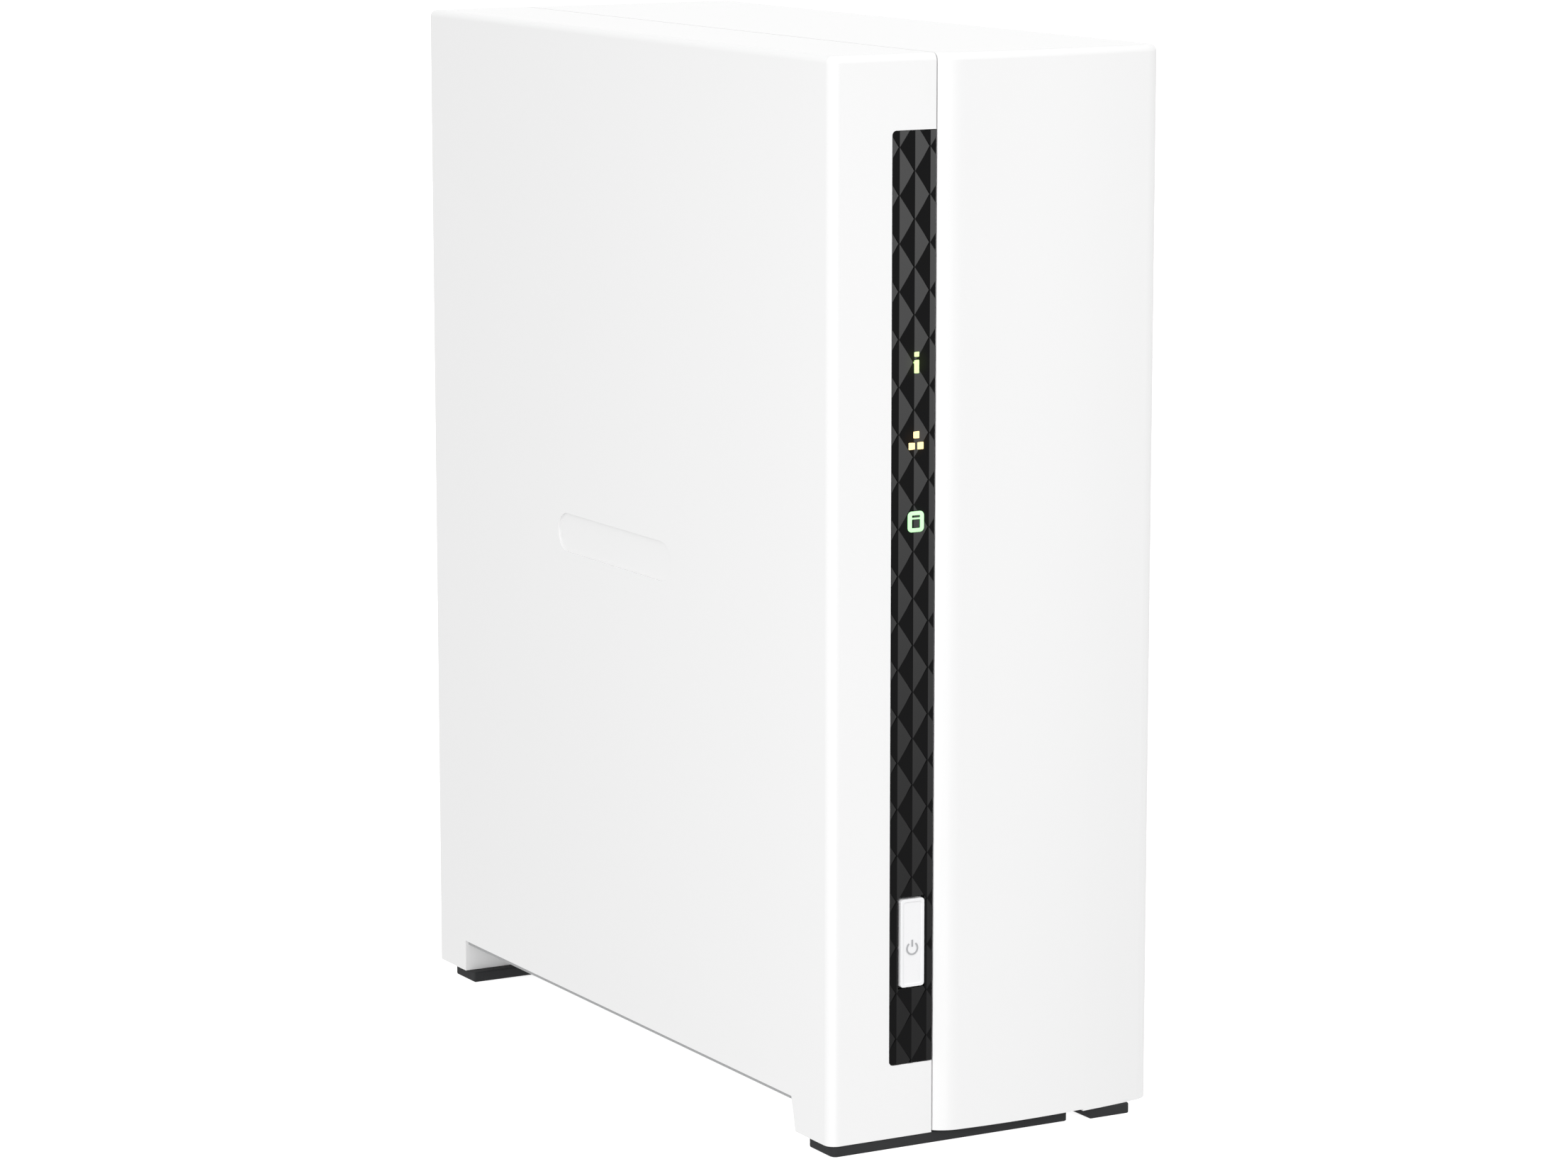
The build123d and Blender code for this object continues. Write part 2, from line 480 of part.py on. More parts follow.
with BuildPart() as rear_panel:
    block((INNER_LEFT, PANEL_X1), (PANEL_IN, PANEL_OUT), (FLOOR, PANEL_Z1))
    # clear of the cover's belly lip
    block((BASE_X, RIGHT), (PANEL_IN - 1, REAR), (FLOOR - 1, FLOOR + SLIDE_GAP), Mode.SUBTRACT)
    for z, wide, tall in PORTS:
        block((BOARD_FACE - PORT_FIT, BOARD_FACE + tall + PORT_FIT), (PANEL_IN - 1, REAR),
              (z - wide / 2 - PORT_FIT, z + wide / 2 + PORT_FIT), Mode.SUBTRACT)
    rod(PINHOLE_R, (RESET_X, PANEL_IN - 1, RESET_Z), WALL + 2, (0, 1, 0), Mode.SUBTRACT)
    for x, z in (PANEL_BOSS_UPPER, PANEL_BOSS_LOWER):
        rod(SCREW_R + SCREW_FREE, (x, PANEL_IN - 1, z), WALL + 2, (0, 1, 0), Mode.SUBTRACT)
    for z in (SCREW_Z_UPPER, SCREW_Z_LOWER):
        rod(COVER_SCREW_R + RUNNING_FIT, (SCREW_X, PANEL_IN - 1, z), WALL + 2, (0, 1, 0), Mode.SUBTRACT)
    with BuildSketch(Plane(origin=(LOCK_X, PANEL_IN - 1, LOCK_Z), x_dir=(0, 0, 1), z_dir=(0, 1, 0))):
        RectangleRounded(LOCK_LONG, LOCK_WIDE, 0.8)
    extrude(amount=WALL + 2, mode=Mode.SUBTRACT)
    # fan grille: rings of slots between spokes
    with BuildSketch(Plane(origin=(0, PANEL_IN - 1, FAN_Z), x_dir=(1, 0, 0), z_dir=(0, 1, 0))):
        for ring in range(GRILLE_RINGS, 0, -1):
            Circle(ring * GRILLE_STEP + GRILLE_SLOT)
            Circle(ring * GRILLE_STEP, mode=Mode.SUBTRACT)
        with PolarLocations(0, GRILLE_SPOKES // 2, angular_range=180):
            Rectangle(2 * FAN_BORE_R + 2 * TAB_HALF, SPOKE, mode=Mode.SUBTRACT)
    extrude(amount=WALL + 2, mode=Mode.SUBTRACT)
    with Locations(Plane(origin=(0, PANEL_IN - 1, FAN_Z), x_dir=(1, 0, 0), z_dir=(0, 1, 0))):
        with GridLocations(FAN_HOLES, FAN_HOLES, 2, 2):
            Cylinder(FAN_HOLE_R, 3 * WALL, mode=Mode.SUBTRACT)
rear_panel.part.label = "rear_panel"
export_step(rear_panel.part, "parts/rear_panel.step")

# ---------------------------------------------------------------- front trim
TRIM_X0 = LEFT + TRIM_LEFT + TRIM_FIT
TRIM_X1 = SHELL_EDGE
STATUS_DOT = (1.08, 0.9, 1.35)      # width, height, height above the middle
STATUS_STEM = (1.08, 2.3, -0.75)
LAN_SQUARE = 1.25
LAN_TOP_Z = 0.95
LAN_LOW_Z = -0.95
LAN_SPREAD = 0.85
DISK_WIDE = 3.2
DISK_TALL = 3.6
DISK_R = 0.8


def status_icon():
    """A small letter-like information sign: a dot over a stem."""
    for wide, tall, rise in (STATUS_DOT, STATUS_STEM):
        with Locations((0, rise)):
            Rectangle(wide, tall)


def network_icon():
    """Three small squares, one above two."""
    with Locations((0, LAN_TOP_Z), (-LAN_SPREAD, LAN_LOW_Z), (LAN_SPREAD, LAN_LOW_Z)):
        Rectangle(LAN_SQUARE, LAN_SQUARE)


def disk_icon():
    """A rounded upright slab: a drive seen from its front."""
    RectangleRounded(DISK_WIDE, DISK_TALL, DISK_R)


with BuildPart() as faceted_trim:
    block((TRIM_X0, TRIM_X1), (STRIP_Y, STRIP_Y + TRIM_DEPTH),
          (TRIM_BOTTOM + TRIM_FIT, TRIM_TOP - TRIM_FIT))
    fillet(faceted_trim.edges().filter_by(Axis.Y).group_by(Axis.X)[0], TRIM_R - TRIM_FIT)
    block((BUTTON - BUTTON_WIDTH / 2 - BUTTON_GAP, BUTTON + BUTTON_WIDTH / 2 + BUTTON_GAP),
          (STRIP_Y - 1, INNER_FRONT),
          (BUTTON_Z - BUTTON_TALL / 2 - BUTTON_GAP, BUTTON_Z + BUTTON_TALL / 2 + BUTTON_GAP), Mode.SUBTRACT)
    for height, icon in ((STATUS_Z, status_icon), (NETWORK_Z, network_icon), (DISK_Z, disk_icon)):
        with BuildSketch(front_plane(ICONS, STRIP_Y + TRIM_DEPTH + 1, height)):
            icon()
        extrude(amount=TRIM_DEPTH + 2, mode=Mode.SUBTRACT)
faceted_trim.part.label = "faceted_trim"
export_step(faceted_trim.part, "parts/faceted_trim.step")

# ---------------------------------------------------------------- light guides
GUIDE_BACK = FRONT_BOARD_Y - 1.4     # guides end just short of their LEDs
GUIDE_FIT = 0.1
GUIDE_FACE = STRIP_Y + TRIM_DEPTH


def guide_body(height):
    """The square pipe of a light guide, from behind the trim to its LED."""
    half_x = GUIDE_SIDE / 2 - GUIDE_FIT
    half_z = GUIDE_TALL / 2 - GUIDE_FIT
    block((ICONS - half_x, ICONS + half_x), (GUIDE_FACE, GUIDE_BACK), (height - half_z, height + half_z))


with BuildPart() as status_light_guide:
    guide_body(STATUS_Z)
    with BuildSketch(front_plane(ICONS, GUIDE_FACE, STATUS_Z)):
        status_icon()
    extrude(amount=TRIM_DEPTH)
status_light_guide.part.label = "status_light_guide"
export_step(status_light_guide.part, "parts/status_light_guide.step")

with BuildPart() as network_light_guide:
    guide_body(NETWORK_Z)
    with BuildSketch(front_plane(ICONS, GUIDE_FACE, NETWORK_Z)):
        network_icon()
    extrude(amount=TRIM_DEPTH)
network_light_guide.part.label = "network_light_guide"
export_step(network_light_guide.part, "parts/network_light_guide.step")

with BuildPart() as disk_light_guide:
    guide_body(DISK_Z)
    with BuildSketch(front_plane(ICONS, GUIDE_FACE, DISK_Z)):
        disk_icon()
    extrude(amount=TRIM_DEPTH)
disk_light_guide.part.label = "disk_light_guide"
export_step(disk_light_guide.part, "parts/disk_light_guide.step")

# ---------------------------------------------------------------- power button
FLANGE_Y = INNER_FRONT + SLIDE_GAP
FLANGE = 0.8
BUTTON_R = 0.6
BUTTON_EDGE_R = 0.3
STEM_R = 1.4
SWITCH = 6.0
SWITCH_HIGH = 3.5
SWITCH_FACE = FRONT_BOARD_Y - SWITCH_HIGH
PLUNGER_R = 1.7
PLUNGER_OUT = 0.9
PLUNGER_IN = 0.7
PLUNGER_Y0 = SWITCH_FACE - PLUNGER_OUT

with BuildPart() as power_button:
    with BuildSketch(front_plane(BUTTON, FLANGE_Y, BUTTON_Z)):
        RectangleRounded(BUTTON_WIDTH, BUTTON_TALL, BUTTON_R)
    extrude(amount=WALL + SLIDE_GAP + BUTTON_PROUD)
    fillet(power_button.faces().sort_by(Axis.Y)[0].edges(), BUTTON_EDGE_R)
    block((BUTTON - BUTTON_WIDTH / 2 - BUTTON_FLANGE, BUTTON + BUTTON_WIDTH / 2 + BUTTON_FLANGE),
          (FLANGE_Y, FLANGE_Y + FLANGE),
          (BUTTON_Z - BUTTON_TALL / 2 - BUTTON_FLANGE, BUTTON_Z + BUTTON_TALL / 2 + BUTTON_FLANGE))
    rod(STEM_R, (BUTTON, FLANGE_Y, BUTTON_Z), PLUNGER_Y0 - FLANGE_Y, (0, 1, 0))
power_button.part.label = "power_button"
export_step(power_button.part, "parts/power_button.step")

with BuildPart() as power_plunger:
    rod(PLUNGER_R, (BUTTON, PLUNGER_Y0, BUTTON_Z), PLUNGER_OUT + PLUNGER_IN, (0, 1, 0))
power_plunger.part.label = "power_plunger"
export_step(power_plunger.part, "parts/power_plunger.step")

with BuildPart() as power_switch:
    block((BUTTON - SWITCH / 2, BUTTON + SWITCH / 2), (SWITCH_FACE, FRONT_BOARD_Y),
          (BUTTON_Z - SWITCH / 2, BUTTON_Z + SWITCH / 2))
    rod(PLUNGER_R + RUNNING_FIT, (BUTTON, SWITCH_FACE - 1, BUTTON_Z), 1 + PLUNGER_IN + BUTTON_TRAVEL + 0.8,
        (0, 1, 0), Mode.SUBTRACT)
power_switch.part.label = "power_switch"
export_step(power_switch.part, "parts/power_switch.step")

# ---------------------------------------------------------------- front board
FRONT_BOARD_BELOW = 11.0
FRONT_BOARD_ABOVE = 8.0
FRONT_BOARD_Z = (BUTTON_Z - FRONT_BOARD_BELOW, STATUS_Z + FRONT_BOARD_ABOVE)
LED_HALF = 1.0
LED_HALF_TALL = 1.4
LED_HIGH = 1.1
with BuildPart() as front_board:
    block((FRONT_BOARD_X0, FRONT_BOARD_X1), (FRONT_BOARD_Y, FRONT_BOARD_Y + BOARD), FRONT_BOARD_Z)
    for z in FRONT_BOARD_BOSSES:
        rod(SCREW_R + SCREW_FREE, (FRONT_BOSS_X, FRONT_BOARD_Y - 1, z), BOARD + 2, (0, 1, 0), Mode.SUBTRACT)
front_board.part.label = "front_board"
export_step(front_board.part, "parts/front_board.step")

with BuildPart() as front_leds:
    for height in (STATUS_Z, NETWORK_Z, DISK_Z):
        block((ICONS - LED_HALF, ICONS + LED_HALF), (FRONT_BOARD_Y - LED_HIGH, FRONT_BOARD_Y),
              (height - LED_HALF_TALL, height + LED_HALF_TALL))
front_leds.part.label = "front_leds"
export_step(front_leds.part, "parts/front_leds.step")

# ================================================================ MAIN BOARD
with BuildPart() as main_board:
    block((BOARD_X, BOARD_FACE), (BOARD_Y0, BOARD_Y1), (BOARD_BOTTOM, BOARD_STEP_Z))
    block((BOARD_X, BOARD_FACE), (BOARD_Y0, BOARD_STEP_Y), (BOARD_BOTTOM, BOARD_TOP))
    for y, z in BOARD_BOSSES:
        rod(SCREW_R + SCREW_FREE, (BOARD_X - 1, y, z), BOARD + 2, (1, 0, 0), Mode.SUBTRACT)
    y, z = BAY_POSTS[2]
    rod(BAY_POST_R + 1.0, (BOARD_X - 1, y, z), BOARD + 2, (1, 0, 0), Mode.SUBTRACT)
main_board.part.label = "main_board"
export_step(main_board.part, "parts/main_board.step")

SCREW_BITE = 2.6
FRONT_SCREW_BITE = 4.0
with BuildPart() as board_screws:
    for y, z in BOARD_BOSSES:
        rod(SCREW_R, (BOARD_X - SCREW_BITE, y, z), BOARD + SCREW_BITE, (1, 0, 0))
        rod(SCREW_HEAD_R, (BOARD_FACE, y, z), SCREW_HEAD, (1, 0, 0))
    for z in FRONT_BOARD_BOSSES:
        rod(SCREW_R, (FRONT_BOSS_X, FRONT_BOARD_Y - FRONT_SCREW_BITE, z), FRONT_SCREW_BITE + BOARD,
            (0, 1, 0))
        rod(SCREW_HEAD_R, (FRONT_BOSS_X, FRONT_BOARD_Y + BOARD, z), SCREW_HEAD, (0, 1, 0))
board_screws.part.label = "board_screws"
export_step(board_screws.part, "parts/board_screws.step")


def on_board(y, z, long, tall, high):
    """A flat component on the main board: middle, size along Y and Z, and height."""
    block((BOARD_FACE, BOARD_FACE + high), (y - long / 2, y + long / 2), (z - tall / 2, z + tall / 2))


PROCESSOR = 19.0
PROCESSOR_HIGH = 1.5
PROCESSOR_Y = BOARD_Y0 + 32.05
PROCESSOR_Z = BOARD_BOTTOM + 119.0
with BuildPart() as processor:
    on_board(PROCESSOR_Y, PROCESSOR_Z, PROCESSOR, PROCESSOR, PROCESSOR_HIGH)
    chamfer(processor.edges().filter_by(Axis.X), 0.6)
processor.part.label = "processor"
export_step(processor.part, "parts/processor.step")

SINK = 30.0
SINK_BASE = 2.0
SINK_HIGH = 10.0
SINK_FINS = 9
SINK_FIN = 1.2
with BuildPart() as heatsink:
    sink_x = BOARD_FACE + PROCESSOR_HIGH
    block((sink_x, sink_x + SINK_HIGH), (PROCESSOR_Y - SINK / 2, PROCESSOR_Y + SINK / 2),
          (PROCESSOR_Z - SINK / 2, PROCESSOR_Z + SINK / 2))
    fin_pitch = SINK / SINK_FINS
    with Locations((sink_x + (SINK_BASE + SINK_HIGH + 1) / 2, PROCESSOR_Y, PROCESSOR_Z)):
        with GridLocations(fin_pitch, fin_pitch, 1, SINK_FINS - 1):
            Box(SINK_HIGH + 1 - SINK_BASE, fin_pitch - SINK_FIN, SINK + 2, mode=Mode.SUBTRACT)
heatsink.part.label = "heatsink"
export_step(heatsink.part, "parts/heatsink.step")

MEMORY_LONG = 11.0
MEMORY_TALL = 12.5
MEMORY_HIGH = 1.1
MEMORY_APART = 16.0
MEMORY_Y = PROCESSOR_Y + 30.0
with BuildPart() as memory_chips:
    for z in (PROCESSOR_Z - MEMORY_APART / 2, PROCESSOR_Z + MEMORY_APART / 2):
        on_board(MEMORY_Y, z, MEMORY_LONG, MEMORY_TALL, MEMORY_HIGH)
memory_chips.part.label = "memory_chips"
export_step(memory_chips.part, "parts/memory_chips.step")

FLASH_LONG = 12.0
FLASH_TALL = 18.0
FLASH_HIGH = 1.0
FLASH_Y = PROCESSOR_Y - 2.0
FLASH_Z = BOARD_BOTTOM + 87.0
with BuildPart() as flash_chip:
    on_board(FLASH_Y, FLASH_Z, FLASH_LONG, FLASH_TALL, FLASH_HIGH)
flash_chip.part.label = "flash_chip"
export_step(flash_chip.part, "parts/flash_chip.step")

LAN_CHIP = 9.0
LAN_CHIP_HIGH = 0.9
LAN_CHIP_Y = BOARD_Y1 - 49.6
LAN_CHIP_Z = LAN_Z + 24.0
with BuildPart() as network_chip:
    on_board(LAN_CHIP_Y, LAN_CHIP_Z, LAN_CHIP, LAN_CHIP, LAN_CHIP_HIGH)
network_chip.part.label = "network_chip"
export_step(network_chip.part, "parts/network_chip.step")

LAN_CORE_LONG = 9.6
LAN_CORE_TALL = 15.2
LAN_CORE_HIGH = 5.8
LAN_CORE_Y = BOARD_Y1 - 33.6
LAN_CORE_Z = LAN_Z + 20.0
with BuildPart() as network_transformer:
    on_board(LAN_CORE_Y, LAN_CORE_Z, LAN_CORE_LONG, LAN_CORE_TALL, LAN_CORE_HIGH)
    fillet(network_transformer.edges().filter_by(Axis.X), 0.5)
network_transformer.part.label = "network_transformer"
export_step(network_transformer.part, "parts/network_transformer.step")

COIL = 7.0
COIL_HIGH = 4.0
COIL_PITCH = 9.0
COIL_Y = BOARD_Y1 - 53.6
COIL_Z = BOARD_BOTTOM + 21.0
with BuildPart() as inductors:
    for step in range(2):
        on_board(COIL_Y + step * COIL_PITCH, COIL_Z, COIL, COIL, COIL_HIGH)
    fillet(inductors.edges().filter_by(Axis.X), 1.0)
inductors.part.label = "inductors"
export_step(inductors.part, "parts/inductors.step")

CAPACITOR_R = 3.15
CAPACITOR_HIGH = 8.0
CAPACITOR_Y = COIL_Y - 2.0
CAPACITOR_Z = COIL_Z + 12.0
with BuildPart() as capacitors:
    for step in range(3):
        rod(CAPACITOR_R, (BOARD_FACE, CAPACITOR_Y + step * COIL_PITCH, CAPACITOR_Z), CAPACITOR_HIGH,
            (1, 0, 0))
    rod(CAPACITOR_R, (BOARD_FACE, PROCESSOR_Y + 8.0, FLASH_Z - 4.0), CAPACITOR_HIGH, (1, 0, 0))
capacitors.part.label = "capacitors"
export_step(capacitors.part, "parts/capacitors.step")

CELL_Y = BOARD_Y0 + 20.05
CELL_Z = BOARD_BOTTOM + 37.0
CELL_R = 10.0
CELL_HIGH = 3.2
CELL_SEAT = BOARD_FACE + 1.0
HOLDER_WALL = 1.6
HOLDER_HIGH = 4.4
with BuildPart() as battery_holder:
    rod(CELL_R + HOLDER_WALL, (BOARD_FACE, CELL_Y, CELL_Z), HOLDER_HIGH, (1, 0, 0))
    rod(CELL_R + 0.1, (CELL_SEAT, CELL_Y, CELL_Z), HOLDER_HIGH, (1, 0, 0), Mode.SUBTRACT)
    block((CELL_SEAT + 1, CELL_SEAT + HOLDER_HIGH), (CELL_Y - CELL_R / 2, CELL_Y + CELL_R / 2),
          (CELL_Z + CELL_R / 2, CELL_Z + CELL_R + HOLDER_WALL + 1), Mode.SUBTRACT)
battery_holder.part.label = "battery_holder"
export_step(battery_holder.part, "parts/battery_holder.step")

with BuildPart() as coin_cell:
    rod(CELL_R, (CELL_SEAT, CELL_Y, CELL_Z), CELL_HIGH, (1, 0, 0))
    chamfer(coin_cell.faces().sort_by(Axis.X)[-1].edges(), 0.4)
coin_cell.part.label = "coin_cell"
export_step(coin_cell.part, "parts/coin_cell.step")

BUZZER_R = 4.5
BUZZER_HIGH = 5.0
BUZZER_HOLE_R = 0.9
BUZZER_HOLE = 2.0
BUZZER_Y = BOARD_Y0 + 12.05
BUZZER_Z = BOARD_BOTTOM + 77.0
with BuildPart() as buzzer:
    rod(BUZZER_R, (BOARD_FACE, BUZZER_Y, BUZZER_Z), BUZZER_HIGH, (1, 0, 0))
    rod(BUZZER_HOLE_R, (BOARD_FACE + BUZZER_HIGH - BUZZER_HOLE, BUZZER_Y, BUZZER_Z), BUZZER_HIGH, (1, 0, 0),
        Mode.SUBTRACT)
buzzer.part.label = "buzzer"
export_step(buzzer.part, "parts/buzzer.step")

# ---------------------------------------------------------------- rear ports
SHEET = 0.4
LAN_MOUTH = 8.2
LAN_MOUTH_W = 11.8
LAN_MOUTH_X = 3.2
LAN_MOUTH_DEEP = 13.0
LAN_LATCH = 1.4
LAN_LATCH_W = 6.2
LAN_LATCH_DEEP = 9.0
USB_TONGUE = 1.8
USB_TONGUE_X = 2.9
USB_TONGUE_W = 10.6
USB_BACK = 4.0
USB_TONGUE_SUNK = 0.8
with BuildPart() as network_jack:
    block((BOARD_FACE, BOARD_FACE + LAN_H), (PORT_END - LAN_LONG, PORT_END),
          (LAN_Z - LAN_W / 2, LAN_Z + LAN_W / 2))
    mouth_x = BOARD_FACE + LAN_MOUTH_X
    block((mouth_x, mouth_x + LAN_MOUTH), (PORT_END - LAN_MOUTH_DEEP, PORT_END + 1),
          (LAN_Z - LAN_MOUTH_W / 2, LAN_Z + LAN_MOUTH_W / 2), Mode.SUBTRACT)
    block((mouth_x, mouth_x + LAN_MOUTH + LAN_LATCH), (PORT_END - LAN_LATCH_DEEP, PORT_END + 1),
          (LAN_Z - LAN_LATCH_W / 2, LAN_Z + LAN_LATCH_W / 2), Mode.SUBTRACT)
network_jack.part.label = "network_jack"
export_step(network_jack.part, "parts/network_jack.step")


def usb_shell(height):
    """The open steel box of one USB socket, with its contact tongue."""
    z = (height - USB_W / 2, height + USB_W / 2)
    block((BOARD_FACE, BOARD_FACE + USB_H), (PORT_END - USB_LONG, PORT_END), z)
    block((BOARD_FACE + SHEET, BOARD_FACE + USB_H - SHEET), (PORT_END - USB_LONG + USB_BACK, PORT_END + 1),
          (z[0] + SHEET, z[1] - SHEET), Mode.SUBTRACT)
    block((BOARD_FACE + USB_TONGUE_X, BOARD_FACE + USB_TONGUE_X + USB_TONGUE),
          (PORT_END - USB_LONG + USB_BACK - 1, PORT_END - USB_TONGUE_SUNK),
          (height - USB_TONGUE_W / 2, height + USB_TONGUE_W / 2))


with BuildPart() as usb3_port:
    usb_shell(USB3_Z)
usb3_port.part.label = "usb3_port"
export_step(usb3_port.part, "parts/usb3_port.step")

with BuildPart() as usb2_ports:
    for height in USB2_Z:
        usb_shell(height)
usb2_ports.part.label = "usb2_ports"
export_step(usb2_ports.part, "parts/usb2_ports.step")

JACK_BORE_R = 3.2
JACK_PIN_R = 1.0
JACK_BORE = 10.0
JACK_PIN = 9.5
JACK_AXIS_X = BOARD_FACE + 6.2
with BuildPart() as power_jack:
    block((BOARD_FACE, BOARD_FACE + JACK_H), (PORT_END - JACK_LONG, PORT_END),
          (JACK_Z - JACK_W / 2, JACK_Z + JACK_W / 2))
    rod(JACK_BORE_R, (JACK_AXIS_X, PORT_END, JACK_Z), JACK_BORE, (0, -1, 0), Mode.SUBTRACT)
    rod(JACK_PIN_R, (JACK_AXIS_X, PORT_END - JACK_BORE - 1, JACK_Z), JACK_PIN, (0, 1, 0))
power_jack.part.label = "power_jack"
export_step(power_jack.part, "parts/power_jack.step")

RESET_BACK = 4.2
RESET_IN = 0.9
RESET_PLUNGER = 4.0
RESET_FACE = PANEL_IN - RESET_BACK
RESET_LONG = 4.4
RESET_R = 1.2
RESET_TRAVEL = 0.4
with BuildPart() as reset_switch:
    block((BOARD_FACE, BOARD_FACE + SWITCH), (RESET_FACE - RESET_LONG, RESET_FACE),
          (RESET_Z - SWITCH / 2, RESET_Z + SWITCH / 2))
    rod(RESET_R + RUNNING_FIT, (RESET_X, RESET_FACE, RESET_Z), RESET_IN + RESET_TRAVEL + 0.7, (0, -1, 0),
        Mode.SUBTRACT)
reset_switch.part.label = "reset_switch"
export_step(reset_switch.part, "parts/reset_switch.step")

with BuildPart() as reset_plunger:
    rod(RESET_R, (RESET_X, RESET_FACE - RESET_IN, RESET_Z), RESET_PLUNGER, (0, 1, 0))
reset_plunger.part.label = "reset_plunger"
export_step(reset_plunger.part, "parts/reset_plunger.step")

SHIELD = 0.5
SHIELD_EDGE = 2.4
with BuildPart() as port_shield:
    block((BOARD_FACE + 0.6, BOARD_FACE + LAN_H + SHIELD_EDGE), (PANEL_IN - SHIELD, PANEL_IN),
          (BOARD_BOTTOM + 1, BOARD_STEP_Z - 1))
    for z, wide, tall in PORTS:
        block((BOARD_FACE - PORT_FIT, BOARD_FACE + tall + PORT_FIT), (PANEL_IN - 1, PANEL_IN + 1),
              (z - wide / 2 - PORT_FIT, z + wide / 2 + PORT_FIT), Mode.SUBTRACT)
    rod(PINHOLE_R + 0.3, (RESET_X, PANEL_IN - 1, RESET_Z), 2, (0, 1, 0), Mode.SUBTRACT)
port_shield.part.label = "port_shield"
export_step(port_shield.part, "parts/port_shield.step")

# ================================================================ DRIVE BAY
RISER_Z = BOARD_BOTTOM + 1.6
RISER_FRONT = 27.0         # riser's front edge behind the drive's
RISER_LONG = 54.0
RISER_SHOULDER = 4.0
RISER_NECK = 5.0
RISER_Y0 = DRIVE_Y0 + RISER_FRONT
RISER_Y1 = RISER_Y0 + RISER_LONG
RISER_X0 = BOARD_FACE + 2.0
RISER_X1 = DRIVE_X0 + 10.0
SOCKET_X = DRIVE_X0 + 3.7
SOCKET_HALF = 2.9
SOCKET_Y = (RISER_Y0 + RISER_SHOULDER, RISER_Y1 - RISER_SHOULDER)
SOCKET_TOP = DRIVE_BOTTOM + 4.0
SOCKET_SLOT = 5.2
SOCKET_END = 1.8
HEADER_DEEP = 6.0
HEADER_LIP = 1.2
BLADE_HALF = 0.6
BLADE_GAP = 0.35

with BuildPart() as riser_header:
    block((BOARD_FACE, BOARD_FACE + HEADER_DEEP), SOCKET_Y,
          (RISER_Z - HEADER_LIP, RISER_Z + BOARD + HEADER_LIP + 1))
    block((RISER_X0, BOARD_FACE + HEADER_DEEP + 1), SOCKET_Y, (RISER_Z, RISER_Z + BOARD), Mode.SUBTRACT)
riser_header.part.label = "riser_header"
export_step(riser_header.part, "parts/riser_header.step")

with BuildPart() as sata_riser:
    block((RISER_X0, RISER_X0 + RISER_NECK), SOCKET_Y, (RISER_Z, RISER_Z + BOARD))
    block((RISER_X0 + RISER_NECK - SLIDE_GAP, RISER_X1), (RISER_Y0, RISER_Y1), (RISER_Z, RISER_Z + BOARD))
sata_riser.part.label = "sata_riser"
export_step(sata_riser.part, "parts/sata_riser.step")

with BuildPart() as sata_socket:
    block((SOCKET_X - SOCKET_HALF, SOCKET_X + SOCKET_HALF), SOCKET_Y, (RISER_Z + BOARD, SOCKET_TOP))
    block((SOCKET_X - BLADE_HALF - BLADE_GAP, SOCKET_X + BLADE_HALF + BLADE_GAP),
          (SOCKET_Y[0] + SOCKET_END, SOCKET_Y[1] - SOCKET_END),
          (SOCKET_TOP - SOCKET_SLOT, SOCKET_TOP + 1), Mode.SUBTRACT)
sata_socket.part.label = "sata_socket"
export_step(sata_socket.part, "parts/sata_socket.step")

PLATE_Y = (DRIVE_Y0 - 5.0, DRIVE_Y1 + 1.6)
PLATE_Z = (BOARD_BOTTOM, BOARD_TOP + 10.0)
PLATE_RISER_GAP = 1.5
PLATE_OPEN = 12.0
PLATE_FLANGE = 7.0
FLANGE_IN = 16.0
AIR_SLOTS = 5
AIR_PITCH = 14.0
AIR_WIDE = 7.0
AIR_TALL = 46.0
AIR_Z = DRIVE_BOTTOM + 108.0
DRIVE_HOLES = [
    (DRIVE_Y + side * DRIVE_HOLE_PITCH_Y / 2, DRIVE_BOTTOM + DRIVE_HOLE_FIRST_Z + row * DRIVE_HOLE_PITCH_Z)
    for side in (-1, 1)
    for row in (0, 1)
]
SLOT_GAP = 0.5

with BuildPart() as bay_plate:
    block((PLATE_X0, PLATE_X1), PLATE_Y, PLATE_Z)
    # room for the riser board and its socket
    block((PLATE_X0 - 1, PLATE_X1 + 1), (RISER_Y0 - PLATE_RISER_GAP, RISER_Y1 + PLATE_RISER_GAP),
          (0, DRIVE_BOTTOM + PLATE_OPEN), Mode.SUBTRACT)
    # slots for the drive's shoulder screws, long enough for the lift
    for y, z in DRIVE_HOLES:
        slot_long = DRIVE_LIFT + 2 * (SHOULDER_R + SLOT_GAP)
        slot_plane = Plane(origin=(PLATE_X0 - 1, y, z + DRIVE_LIFT / 2), x_dir=(0, 0, 1), z_dir=(1, 0, 0))
        with BuildSketch(slot_plane):
            SlotOverall(slot_long, 2 * (SHOULDER_R + SLOT_GAP))
        extrude(amount=BAY_PLATE + 2, mode=Mode.SUBTRACT)
    # air and weight slots
    with Locations(((PLATE_X0 + PLATE_X1) / 2, DRIVE_Y, AIR_Z)):
        with GridLocations(1, AIR_PITCH, 1, AIR_SLOTS):
            Box(BAY_PLATE + 2, AIR_WIDE, AIR_TALL, mode=Mode.SUBTRACT)
    # stiffening flange along the front edge
    block((PLATE_X0, PLATE_X0 + PLATE_FLANGE), (PLATE_Y[0], PLATE_Y[0] + BAY_PLATE),
          (BAY_POSTS[0][1] + FLANGE_IN, BAY_POSTS[1][1] - FLANGE_IN))
    for y, z in BAY_POSTS:
        rod(SCREW_R + 0.2, (PLATE_X0 - 1, y, z), BAY_PLATE + 2, (1, 0, 0), Mode.SUBTRACT)
